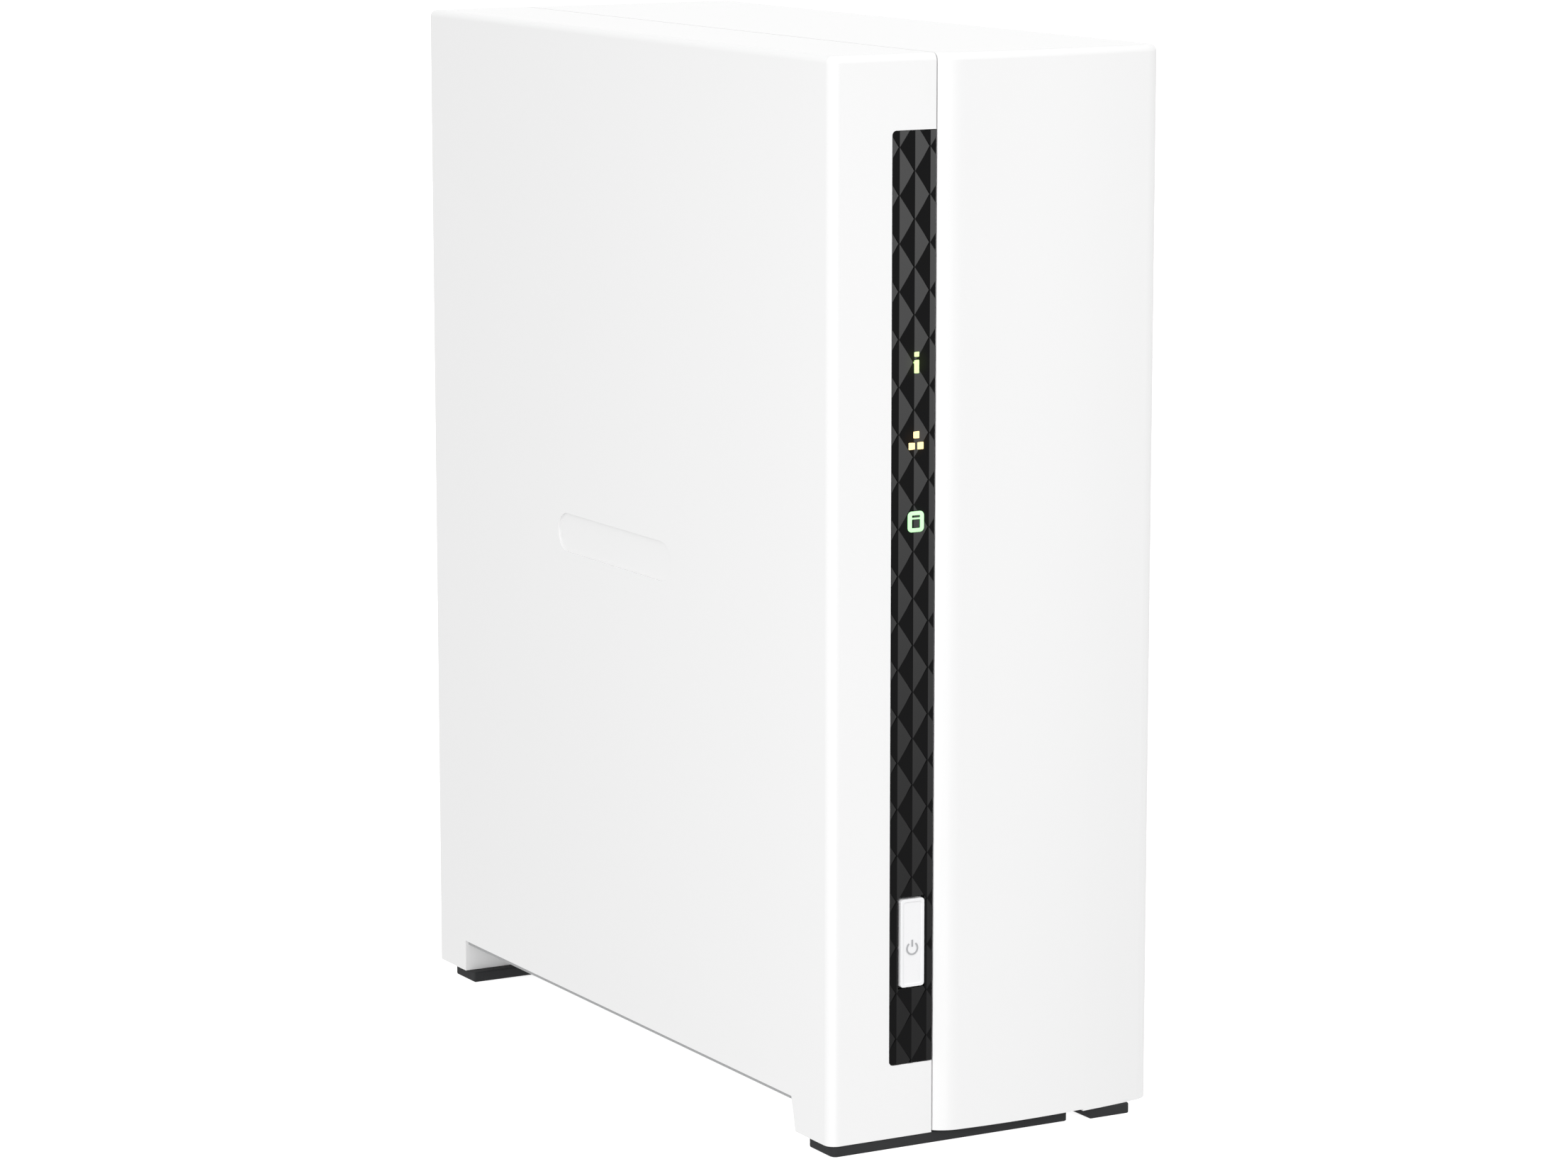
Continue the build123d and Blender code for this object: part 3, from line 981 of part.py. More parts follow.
bay_plate.part.label = "bay_plate"
export_step(bay_plate.part, "parts/bay_plate.step")

POST_X0 = INNER_LEFT + BAY_POST_SEAT
POST_BORE = 6.0
BAY_SCREW_BITE = 5.0
with BuildPart() as bay_posts:
    for y, z in BAY_POSTS:
        rod(BAY_POST_R, (POST_X0, y, z), PLATE_X0 - POST_X0, (1, 0, 0))
        rod(SCREW_R, (PLATE_X0 - POST_BORE, y, z), POST_BORE + 1, (1, 0, 0), Mode.SUBTRACT)
bay_posts.part.label = "bay_posts"
export_step(bay_posts.part, "parts/bay_posts.step")

BAY_HEAD = 0.9
with BuildPart() as bay_screws:
    for y, z in BAY_POSTS:
        rod(SCREW_R, (PLATE_X0 - BAY_SCREW_BITE, y, z), BAY_SCREW_BITE + BAY_PLATE, (1, 0, 0))
        rod(SCREW_HEAD_R, (PLATE_X1, y, z), BAY_HEAD, (1, 0, 0))
bay_screws.part.label = "bay_screws"
export_step(bay_screws.part, "parts/bay_screws.step")

# ---------------------------------------------------------------- hard drive
LID = 1.6
CASE_X1 = DRIVE_X1 - LID
DRIVE_PCB_DEEP = 2.4
CONNECTOR_DEEP = 9.4
DRIVE_PCB_Z = (DRIVE_BOTTOM + CONNECTOR_DEEP, DRIVE_BOTTOM + 98.0)
PCB_MARGIN = 3.4
PCB_IN = 12.0
CASE_WALL = 3.5
CASE_FLOOR = 10.0
CAVITY_LOW = 14.0
CAVITY_HIGH = 4.0
MOTOR_BOSS_R = 15.0
MOTOR_Z = DRIVE_BOTTOM + 118.0
LID_RIM = 1.0
LID_DISC_R = 40.0
LID_DISC_DEEP = 0.5
LID_RING_R = 36.0
LID_DISC_Z = DRIVE_TOP - 50.0
LID_SCREW_R = 2.0
LID_SCREW_IN = 5.0
LID_SCREW_DEEP = 0.8
LID_SCREWS = [
    (y, z)
    for y in (DRIVE_Y0 + LID_SCREW_IN, DRIVE_Y1 - LID_SCREW_IN)
    for z in (DRIVE_BOTTOM + CAVITY_LOW, DRIVE_BOTTOM + 78.0, DRIVE_TOP - LID_SCREW_IN - LID_RIM)
]

with BuildPart() as drive_case:
    block((DRIVE_X0, CASE_X1), (DRIVE_Y0, DRIVE_Y1), (DRIVE_BOTTOM, DRIVE_TOP))
    fillet(drive_case.edges().filter_by(Axis.X), 3.0)
    # recess for the drive's own board, and for the connector at the lower end
    block((DRIVE_X0 - 1, DRIVE_X0 + DRIVE_PCB_DEEP), (DRIVE_Y0 + PCB_IN, DRIVE_Y1 - PCB_IN),
          DRIVE_PCB_Z, Mode.SUBTRACT)
    block((DRIVE_X0 - 1, SOCKET_X + SOCKET_HALF + 1.2), (SOCKET_Y[0] - 2, SOCKET_Y[1] + 2),
          (DRIVE_BOTTOM - 1, DRIVE_BOTTOM + CONNECTOR_DEEP), Mode.SUBTRACT)
    # sealed space for the discs, closed by the lid
    block((DRIVE_X0 + CASE_FLOOR, CASE_X1 + 1), (DRIVE_Y0 + CASE_WALL, DRIVE_Y1 - CASE_WALL),
          (DRIVE_BOTTOM + CAVITY_LOW, DRIVE_TOP - CAVITY_HIGH), Mode.SUBTRACT)
    # round recess above the board, over the motor
    rod(MOTOR_BOSS_R, (DRIVE_X0, DRIVE_Y, MOTOR_Z), 1.2, (1, 0, 0), Mode.SUBTRACT)
    # tapped holes for the shoulder screws
    for y, z in DRIVE_HOLES:
        rod(SCREW_R + 0.3, (DRIVE_X0 - 1, y, z), 5.0, (1, 0, 0), Mode.SUBTRACT)
drive_case.part.label = "drive_case"
export_step(drive_case.part, "parts/drive_case.step")

with BuildPart() as drive_lid:
    block((CASE_X1, DRIVE_X1), (DRIVE_Y0 + LID_RIM, DRIVE_Y1 - LID_RIM),
          (DRIVE_BOTTOM + CAVITY_LOW - LID_SCREW_IN, DRIVE_TOP - LID_RIM))
    fillet(drive_lid.edges().filter_by(Axis.X), 4.0)
    rod(LID_DISC_R, (DRIVE_X1 - LID_DISC_DEEP, DRIVE_Y, LID_DISC_Z), 1, (1, 0, 0), Mode.SUBTRACT)
    rod(LID_RING_R, (DRIVE_X1 - 2 * LID_DISC_DEEP, DRIVE_Y, LID_DISC_Z), 0.8, (1, 0, 0))
    for y, z in LID_SCREWS:
        rod(LID_SCREW_R, (DRIVE_X1 - LID_SCREW_DEEP, y, z), 2, (1, 0, 0), Mode.SUBTRACT)
drive_lid.part.label = "drive_lid"
export_step(drive_lid.part, "parts/drive_lid.step")

with BuildPart() as drive_lid_screws:
    for y, z in LID_SCREWS:
        rod(LID_SCREW_R - 0.1, (DRIVE_X1 - LID_SCREW_DEEP, y, z), LID_SCREW_DEEP - 0.1, (1, 0, 0))
        rod(LID_SCREW_R / 2.5, (DRIVE_X1 - LID_DISC_DEEP, y, z), 1, (1, 0, 0), Mode.SUBTRACT)
drive_lid_screws.part.label = "drive_lid_screws"
export_step(drive_lid_screws.part, "parts/drive_lid_screws.step")

with BuildPart() as drive_board:
    block((DRIVE_X0 + 0.8, DRIVE_X0 + DRIVE_PCB_DEEP),
          (DRIVE_Y0 + PCB_IN + PCB_MARGIN, DRIVE_Y1 - PCB_IN - PCB_MARGIN),
          (DRIVE_PCB_Z[0] + 0.3, DRIVE_PCB_Z[1] - PCB_MARGIN))
    fillet(drive_board.edges().filter_by(Axis.X), 2.0)
drive_board.part.label = "drive_board"
export_step(drive_board.part, "parts/drive_board.step")

with BuildPart() as drive_connector:
    block((SOCKET_X - SOCKET_HALF - 0.4, SOCKET_X + SOCKET_HALF + 0.8),
          (SOCKET_Y[0] - 1.5, SOCKET_Y[1] + 1.5),
          (SOCKET_TOP + 1.0, DRIVE_BOTTOM + CONNECTOR_DEEP))
    block((SOCKET_X - BLADE_HALF, SOCKET_X + BLADE_HALF), (SOCKET_Y[0] + 2.2, SOCKET_Y[1] - 2.2),
          (DRIVE_BOTTOM + 0.4, SOCKET_TOP + 2))
drive_connector.part.label = "drive_connector"
export_step(drive_connector.part, "parts/drive_connector.step")

GROMMET = BAY_GAP - SLIDE_GAP
with BuildPart() as drive_grommets:
    for y, z in DRIVE_HOLES:
        tube(GROMMET_R, SHOULDER_R, (DRIVE_X0 - GROMMET, y, z), GROMMET, (1, 0, 0))
drive_grommets.part.label = "drive_grommets"
export_step(drive_grommets.part, "parts/drive_grommets.step")

with BuildPart() as drive_shoulder_screws:
    for y, z in DRIVE_HOLES:
        rod(SCREW_R + 0.3, (DRIVE_X0, y, z), 3.5, (1, 0, 0))
        rod(SHOULDER_R, (PLATE_X0 - SLIDE_GAP, y, z), DRIVE_X0 - PLATE_X0 + SLIDE_GAP, (1, 0, 0))
        rod(GROMMET_R, (PLATE_X0 - SLIDE_GAP, y, z), SHOULDER_HEAD, (-1, 0, 0))
drive_shoulder_screws.part.label = "drive_shoulder_screws"
export_step(drive_shoulder_screws.part, "parts/drive_shoulder_screws.step")

# ================================================================ FAN
MOTOR_DISC_R = HUB_R - 0.5
MOTOR_DISC = 2.4
ROTOR_Y0 = FAN_Y0 + 0.8
ROTOR_Y1 = FAN_Y1 - MOTOR_DISC - 0.9
BUSH_WALL = 1.4
BUSH_R = SHAFT_R + RUNNING_FIT + BUSH_WALL
BEARING_WALL = 1.3
BEARING = 8.0
FAN_ARM = 2.6

with BuildPart() as fan_frame:
    with BuildSketch(Plane(origin=(0, FAN_Y0, FAN_Z), x_dir=(1, 0, 0), z_dir=(0, 1, 0))):
        RectangleRounded(FAN, FAN, 4.0)
        Circle(FAN_BORE_R, mode=Mode.SUBTRACT)
        with GridLocations(FAN_HOLES, FAN_HOLES, 2, 2):
            Circle(FAN_HOLE_R, mode=Mode.SUBTRACT)
    extrude(amount=FAN_DEPTH)
    # four arms carry the motor disc at the rear, against the panel's grille
    with BuildSketch(Plane(origin=(0, FAN_Y1, FAN_Z), x_dir=(1, 0, 0), z_dir=(0, -1, 0))):
        with PolarLocations(0, 2, angular_range=180):
            Rectangle(2 * FAN_BORE_R + 2 * TOUCH, FAN_ARM)
        Circle(MOTOR_DISC_R)
    extrude(amount=MOTOR_DISC)
    tube(BUSH_R + BEARING_WALL, BUSH_R, (0, FAN_Y1 - MOTOR_DISC + TOUCH, FAN_Z), BEARING + TOUCH,
         (0, -1, 0))
fan_frame.part.label = "fan_frame"
export_step(fan_frame.part, "parts/fan_frame.step")

with BuildPart() as fan_bush:
    tube(BUSH_R, SHAFT_R + RUNNING_FIT, (0, FAN_Y1 - MOTOR_DISC, FAN_Z), BEARING, (0, -1, 0))
fan_bush.part.label = "fan_bush"
export_step(fan_bush.part, "parts/fan_bush.step")

STATOR_R0 = BUSH_R + BEARING_WALL
STATOR_R1 = HUB_R - HUB_WALL - 0.6
with BuildPart() as fan_stator:
    with BuildSketch(Plane(origin=(0, FAN_Y1 - MOTOR_DISC - 1.4, FAN_Z), z_dir=(0, -1, 0))):
        Circle(STATOR_R0 + 1.6)
        with PolarLocations((STATOR_R0 + STATOR_R1) / 2, 4):
            Rectangle(STATOR_R1 - STATOR_R0 - 0.4, 5.0)
        Circle(STATOR_R0, mode=Mode.SUBTRACT)
    extrude(amount=5.2)
fan_stator.part.label = "fan_stator"
export_step(fan_stator.part, "parts/fan_stator.step")

BLADE_CHORD = 12.6
BLADE_TILT = 38.0
BLADE = 1.3
with BuildPart() as fan_rotor:
    for index in range(BLADES):
        turn = 360.0 * index / BLADES
        across = Vector(1, 0, 0).rotate(Axis.Y, turn)
        blade_plane = Plane(origin=(0, (ROTOR_Y0 + ROTOR_Y1) / 2, FAN_Z), x_dir=(0, 1, 0), z_dir=across)
        with BuildSketch(blade_plane):
            Rectangle(BLADE_CHORD, BLADE, rotation=BLADE_TILT)
        extrude(amount=FAN_BORE_R + 5)
    with BuildSketch(Plane(origin=(0, FAN_Y0 - 5, FAN_Z), z_dir=(0, 1, 0))):
        Circle(FAN_BORE_R - BLADE_TIP_GAP)
    extrude(amount=FAN_DEPTH + 10, mode=Mode.INTERSECT)
    rod(HUB_R, (0, ROTOR_Y0, FAN_Z), ROTOR_Y1 - ROTOR_Y0, (0, 1, 0))
    rod(HUB_R - HUB_WALL, (0, ROTOR_Y0 + 1.6, FAN_Z), ROTOR_Y1, (0, 1, 0), Mode.SUBTRACT)
    rod(SHAFT_R, (0, ROTOR_Y0 - 1, FAN_Z), 4, (0, 1, 0), Mode.SUBTRACT)
fan_rotor.part.label = "fan_rotor"
export_step(fan_rotor.part, "parts/fan_rotor.step")

with BuildPart() as fan_shaft:
    rod(SHAFT_R, (0, ROTOR_Y0 + 0.3, FAN_Z), FAN_Y1 - MOTOR_DISC - 0.4 - ROTOR_Y0, (0, 1, 0))
fan_shaft.part.label = "fan_shaft"
export_step(fan_shaft.part, "parts/fan_shaft.step")

FAN_SCREW_BITE = 8.0
FAN_SCREW_HEAD_R = 3.4
FAN_SCREW_HEAD = 1.5
with BuildPart() as fan_screws:
    for side in (-1, 1):
        for rise in (-1, 1):
            at = (side * FAN_HOLES / 2, PANEL_OUT, FAN_Z + rise * FAN_HOLES / 2)
            rod(FAN_HOLE_R, at, WALL + FAN_SCREW_BITE, (0, -1, 0))
            rod(FAN_SCREW_HEAD_R, at, FAN_SCREW_HEAD, (0, 1, 0))
fan_screws.part.label = "fan_screws"
export_step(fan_screws.part, "parts/fan_screws.step")

HEADER_Y = BOARD_STEP_Y - 7.0
HEADER_Z = BOARD_STEP_Z - 7.5
HEADER_LONG = 6.0
HEADER_TALL = 8.0
with BuildPart() as fan_header:
    on_board(HEADER_Y, HEADER_Z, HEADER_LONG, HEADER_TALL, HEADER_DEEP)
fan_header.part.label = "fan_header"
export_step(fan_header.part, "parts/fan_header.step")

CABLE_R = 1.2
CABLE_X = BOARD_FACE + HEADER_DEEP / 2
CABLE_FAN_X = max(CABLE_X, -FAN / 2) + 6.0
CABLE_FAN_Y = FAN_Y0 + 5.0
CABLE_TOP = FAN_Z - FAN / 2
CABLE_LOW = HEADER_Z + HEADER_TALL / 2
CABLE_MID = (CABLE_TOP + CABLE_LOW) / 2
with BuildPart() as fan_cable:
    with BuildLine() as cable_path:
        FilletPolyline(
            (CABLE_FAN_X, CABLE_FAN_Y, CABLE_TOP),
            (CABLE_FAN_X, CABLE_FAN_Y, CABLE_MID),
            (CABLE_X, HEADER_Y, CABLE_MID),
            (CABLE_X, HEADER_Y, CABLE_LOW),
            radius=2.0,
        )
    with BuildSketch(Plane(origin=cable_path.line @ 0, z_dir=cable_path.line % 0)):
        Circle(CABLE_R)
    sweep()
fan_cable.part.label = "fan_cable"
export_step(fan_cable.part, "parts/fan_cable.step")

# ---------------------------------------------------------------- ribbon cable
RIBBON = 0.3
RIBBON_X = LEFT + 12.7
RIBBON_WIDE = 10.0
RIBBON_MARGIN = 0.8
RIBBON_Z = (DISK_Z - 4.5, DISK_Z - 4.5 + RIBBON_WIDE)
RIBBON_SOCKET = 3.0
SOCKET_DEEP = 1.7
with BuildPart() as ribbon_sockets:
    block((RIBBON_X - 2.0, RIBBON_X + 2.0),
          (FRONT_BOARD_Y + BOARD, FRONT_BOARD_Y + BOARD + SOCKET_DEEP), RIBBON_Z)
    block((BOARD_FACE, BOARD_FACE + RIBBON_SOCKET), (BOARD_Y0, BOARD_Y0 + 1.5 * RIBBON_SOCKET), RIBBON_Z)
ribbon_sockets.part.label = "ribbon_sockets"
export_step(ribbon_sockets.part, "parts/ribbon_sockets.step")

with BuildPart() as ribbon_cable:
    with BuildSketch(Plane.XY.offset(RIBBON_Z[0] + RIBBON_MARGIN)):
        with BuildLine() as ribbon_path:
            FilletPolyline(
                (RIBBON_X, FRONT_BOARD_Y + BOARD + SOCKET_DEEP),
                (RIBBON_X, BOARD_Y0 - 12),
                (BOARD_FACE + RIBBON_SOCKET / 2, BOARD_Y0 - 6),
                (BOARD_FACE + RIBBON_SOCKET / 2, BOARD_Y0),
                radius=3.0,
            )
        trace(line_width=RIBBON)
    extrude(amount=RIBBON_WIDE - 2 * RIBBON_MARGIN)
ribbon_cable.part.label = "ribbon_cable"
export_step(ribbon_cable.part, "parts/ribbon_cable.step")

# ================================================================ FASTENERS AND FEET
PANEL_SCREW_BITE = 5.0
with BuildPart() as panel_screws:
    for x, z in (PANEL_BOSS_UPPER, PANEL_BOSS_LOWER):
        rod(SCREW_R, (x, PANEL_OUT, z), WALL + PANEL_SCREW_BITE, (0, -1, 0))
        rod(SCREW_HEAD_R, (x, PANEL_OUT, z), SCREW_HEAD, (0, 1, 0))
panel_screws.part.label = "panel_screws"
export_step(panel_screws.part, "parts/panel_screws.step")


def thumbscrew(height):
    """A low, slotted thumbscrew through the rear panel into a cover tab."""
    rod(COVER_SCREW_R, (SCREW_X, TAB_Y0 + 0.5, height), PANEL_OUT - TAB_Y0 - 0.5 + SLIDE_GAP, (0, 1, 0))
    rod(COVER_SCREW_HEAD_R, (SCREW_X, PANEL_OUT + 0.05, height), PANEL_INSET - 0.1, (0, 1, 0))
    block((SCREW_X - 0.5, SCREW_X + 0.5), (REAR - 0.9, REAR + 1),
          (height - COVER_SCREW_HEAD_R - 1, height + COVER_SCREW_HEAD_R + 1), Mode.SUBTRACT)


with BuildPart() as cover_screw_upper:
    thumbscrew(SCREW_Z_UPPER)
cover_screw_upper.part.label = "cover_screw_upper"
export_step(cover_screw_upper.part, "parts/cover_screw_upper.step")

with BuildPart() as cover_screw_lower:
    thumbscrew(SCREW_Z_LOWER)
cover_screw_lower.part.label = "cover_screw_lower"
export_step(cover_screw_lower.part, "parts/cover_screw_lower.step")

FOOT_DEEP = 8.2
FOOT_SIDE = 0.8
FOOT_R = 1.2
FOOT_END = 2.0
FOOT_FRONT = 0.3
SMALL_FOOT_FRONT = 1.4
SMALL_FOOT_SIDE = 5.4
REAR_FOOT_LEAD = 2.3       # rear feet reach forward of their leg's wall line
REAR_FOOT_Y = (REAR_LEG_Y - REAR_FOOT_LEAD, REAR_LEG_Y - REAR_FOOT_LEAD + FOOT_DEEP)
with BuildPart() as shell_feet:
    block((LEFT + FOOT_SIDE, BASE_X - FOOT_END), (STRIP_Y + FOOT_FRONT, STRIP_Y + FOOT_FRONT + FOOT_DEEP),
          (0, FOOT_HEIGHT))
    fillet(shell_feet.edges().filter_by(Axis.Z).group_by(Axis.X)[0].sort_by(Axis.Y)[0], FOOT_R)
    block((LEFT + FOOT_SIDE, BASE_X - FOOT_END), REAR_FOOT_Y, (0, FOOT_HEIGHT))
shell_feet.part.label = "shell_feet"
export_step(shell_feet.part, "parts/shell_feet.step")

with BuildPart() as cover_feet:
    SMALL_FOOT_X = (LIP_X + FOOT_END, RIGHT - SMALL_FOOT_SIDE)
    block(SMALL_FOOT_X, (FRONT + SMALL_FOOT_FRONT, FRONT + SMALL_FOOT_FRONT + FOOT_DEEP), (0, FOOT_HEIGHT))
    block(SMALL_FOOT_X, REAR_FOOT_Y, (0, FOOT_HEIGHT))
cover_feet.part.label = "cover_feet"
export_step(cover_feet.part, "parts/cover_feet.step")
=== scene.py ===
"""Looks of an upright single-bay network storage box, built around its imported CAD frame."""

import json
import logging
import math
from dataclasses import dataclass
from enum import Enum
from typing import Any, Callable, Iterable, Optional, Sequence

import bmesh
import bpy
from mathutils import Matrix, Vector


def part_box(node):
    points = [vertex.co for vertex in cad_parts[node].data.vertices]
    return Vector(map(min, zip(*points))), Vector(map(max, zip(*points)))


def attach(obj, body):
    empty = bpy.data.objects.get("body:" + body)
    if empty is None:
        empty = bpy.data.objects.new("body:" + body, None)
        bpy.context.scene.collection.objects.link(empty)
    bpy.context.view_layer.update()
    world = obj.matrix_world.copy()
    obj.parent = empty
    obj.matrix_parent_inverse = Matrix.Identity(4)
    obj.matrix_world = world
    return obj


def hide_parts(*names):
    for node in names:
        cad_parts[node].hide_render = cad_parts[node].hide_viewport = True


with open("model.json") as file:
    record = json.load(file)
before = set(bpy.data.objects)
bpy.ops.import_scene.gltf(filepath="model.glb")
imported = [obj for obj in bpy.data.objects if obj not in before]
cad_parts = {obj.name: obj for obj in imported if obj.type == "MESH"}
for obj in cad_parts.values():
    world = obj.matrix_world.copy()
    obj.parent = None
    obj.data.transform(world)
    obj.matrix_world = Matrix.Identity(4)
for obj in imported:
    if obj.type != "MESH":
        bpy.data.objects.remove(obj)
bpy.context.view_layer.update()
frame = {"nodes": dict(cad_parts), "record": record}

MM = 0.001
CREASE_DEG = 34.0            # edges that turn more than this are sharp
SHARP_DEG = 30.0             # the same, for outer pieces and turned heads
LEAD_DEG = 50.0              # the same, for leads and ribbons
SMOOTH_GRAIN = 0.05          # finer grain than this leaves an even gloss
LOG = logging.getLogger("storage_box")
BODY_OF = {node: body for body, nodes in frame["record"]["behaviour"]["bodies"].items() for node in nodes}


# ------------------------------------------------------------------ small helpers
def srgb(code: str) -> tuple[float, float, float, float]:
    """Turn an sRGB hex colour into linear values.

    Args:
        code: a colour such as "#f4f5f6".

    Returns:
        Linear red, green, blue and an alpha of one.
    """
    channels = [int(code[start:start + 2], 16) / 255 for start in (1, 3, 5)]
    linear = [c / 12.92 if c <= 0.04045 else ((c + 0.055) / 1.055) ** 2.4 for c in channels]
    return (linear[0], linear[1], linear[2], 1.0)


def add(tree: bpy.types.NodeTree, kind: str, settings: Optional[dict[str, Any]] = None,
        links: Optional[dict[Any, Any]] = None) -> bpy.types.Node:
    """Add a node to a tree, with its settings, values and links.

    Args:
        tree: the node tree.
        kind: the node's type name.
        settings: attributes of the node.
        links: an input's name or number, and the value or the output socket that it gets.

    Returns:
        The new node.
    """
    node = tree.nodes.new(kind)
    for key, value in (settings or {}).items():
        setattr(node, key, value)
    for key, value in (links or {}).items():
        if isinstance(value, bpy.types.NodeSocket):
            tree.links.new(value, node.inputs[key])
        else:
            node.inputs[key].default_value = value
    return node


def box_mm(node: str) -> tuple[Vector, Vector]:
    """Lowest and highest corner of a CAD node at rest, in millimetres."""
    low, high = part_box(node)
    return Vector(low) / MM, Vector(high) / MM


def middle_mm(node: str) -> Vector:
    """Middle of a CAD node's box, in millimetres."""
    low, high = box_mm(node)
    return (low + high) / 2


def new_object(name: str, mesh: bpy.types.Mesh) -> bpy.types.Object:
    """Put a mesh into the scene as an object at the origin."""
    piece = bpy.data.objects.new(name, mesh)
    bpy.context.scene.collection.objects.link(piece)
    return piece


def from_bmesh(name: str, shape: bmesh.types.BMesh) -> bpy.types.Object:
    """Turn a bmesh in millimetres into an object in metres.

    Args:
        name: the object's name.
        shape: the geometry, which is freed.

    Returns:
        The new object, with its place in its mesh.
    """
    bmesh.ops.scale(shape, vec=(MM, MM, MM), verts=shape.verts)
    mesh = bpy.data.meshes.new(name)
    shape.to_mesh(mesh)
    shape.free()
    return new_object(name, mesh)


def apply_modifiers(piece: bpy.types.Object) -> bpy.types.Object:
    """Bake a piece's modifiers into its mesh and take them off."""
    graph = bpy.context.evaluated_depsgraph_get()
    mesh = bpy.data.meshes.new_from_object(piece.evaluated_get(graph), depsgraph=graph)
    piece.modifiers.clear()
    piece.data = mesh
    return piece


def soften(piece: bpy.types.Object, bevel_mm: float, sharp_deg: float = CREASE_DEG,
           segments: int = 2) -> bpy.types.Object:
    """Round a piece's sharp edges a little and give it clean smooth shading.

    Args:
        piece: the piece to finish.
        bevel_mm: width of the edge rounding, or 0 for none.
        sharp_deg: edges that turn more than this are rounded, or stay crisp without a rounding.
        segments: faces across each rounded edge.

    Returns:
        The same piece.
    """
    if bevel_mm:
        bevel = piece.modifiers.new("edge_round", "BEVEL")
        bevel.width = bevel_mm * MM
        bevel.segments = segments
        bevel.limit_method = "ANGLE"
        bevel.angle_limit = math.radians(sharp_deg)
        apply_modifiers(piece)
    mesh = piece.data
    mesh.shade_smooth()
    mesh.set_sharp_from_angle(angle=math.radians(sharp_deg))
    weighted = piece.modifiers.new("flat_faces_stay_flat", "WEIGHTED_NORMAL")
    weighted.keep_sharp = True
    weighted.mode = "FACE_AREA"
    return apply_modifiers(piece)


def solid_from(node: str, name: str, bevel_mm: float = 0.0,
               sharp_deg: float = CREASE_DEG) -> bpy.types.Object:
    """Copy a CAD node, join its loose triangles and finish its edges.

    Args:
        node: the CAD node.
        name: the new piece's name.
        bevel_mm: width of the edge rounding.
        sharp_deg: the angle past which an edge counts as sharp.

    Returns:
        The finished copy.
    """
    shape = bmesh.new()
    shape.from_mesh(frame["nodes"][node].data)
    bmesh.ops.remove_doubles(shape, verts=shape.verts, dist=1e-6)
    bmesh.ops.dissolve_limit(shape, angle_limit=math.radians(0.4), verts=shape.verts, edges=shape.edges)
    mesh = bpy.data.meshes.new(name)
    shape.to_mesh(mesh)
    shape.free()
    mesh.materials.clear()
    return soften(new_object(name, mesh), bevel_mm, sharp_deg)


def paint(piece: bpy.types.Object, finishes: Sequence["Finish"],
          pick: Optional[Callable[[Vector], int]] = None) -> None:
    """Give a piece its finishes.

    Args:
        piece: the piece.
        finishes: its finishes, in order.
        pick: tells a face's finish from its middle in millimetres, or None where all have the first.
    """
    piece.data.materials.clear()
    for finish in finishes:
        piece.data.materials.append(finish.material())
    if pick is not None:
        for polygon in piece.data.polygons:
            polygon.material_index = pick(polygon.center / MM)


def settle(piece: bpy.types.Object, finish: Optional["Finish"], node: str,
           replaces: Sequence[str] = ()) -> bpy.types.Object:
    """Give a piece its finish and body, and hide what it stands for.

    Args:
        piece: the piece.
        finish: its finish, or None where it has its finishes already.
        node: the CAD node whose body it takes.
        replaces: CAD nodes that it stands for.

    Returns:
        The same piece.
    """
    if finish is not None:
        paint(piece, [finish])
    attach(piece, BODY_OF[node])
    if replaces:
        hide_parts(*replaces)
    LOG.info("piece %s on %s, %d faces", piece.name, BODY_OF[node], len(piece.data.polygons))
    return piece


def refine(node: str, finish: Optional["Finish"], bevel_mm: float = 0.12,
           sharp_deg: float = CREASE_DEG) -> bpy.types.Object:
    """Stand a smooth, edge-rounded copy in for a CAD node.

    Args:
        node: the CAD node.
        finish: the copy's finish.
        bevel_mm: width of its edge rounding.
        sharp_deg: the angle past which an edge counts as sharp.

    Returns:
        The new piece.
    """
    return settle(solid_from(node, f"{node}_body", bevel_mm, sharp_deg), finish, node, (node,))


def refine_all(rows: Iterable[tuple[str, "Finish", float]]) -> None:
    """Refine several CAD nodes, each with its finish and the width of its edge rounding."""
    for node, finish, bevel_mm in rows:
        refine(node, finish, bevel_mm)


def add_box(shape: bmesh.types.BMesh, low: Sequence[float],
            high: Sequence[float]) -> list[bmesh.types.BMVert]:
    """Add a box to a bmesh, between two corners in millimetres, and return its vertices."""
    size = Vector(high) - Vector(low)
    place = Matrix.Translation((Vector(low) + Vector(high)) / 2) @ Matrix.Diagonal((*size, 1.0))
    return bmesh.ops.create_cube(shape, size=1.0, matrix=place)["verts"]


class Axis(Enum):
    """The direction that a round or flat shape faces."""

    X = "x"
    Y = "y"
    Z = "z"

    def turn(self) -> Matrix:
        """The rotation that takes +Z to this axis."""
        if self is Axis.X:
            return Matrix.Rotation(math.pi / 2, 4, "Y")
        if self is Axis.Y:
            return Matrix.Rotation(-math.pi / 2, 4, "X")
        return Matrix.Identity(4)


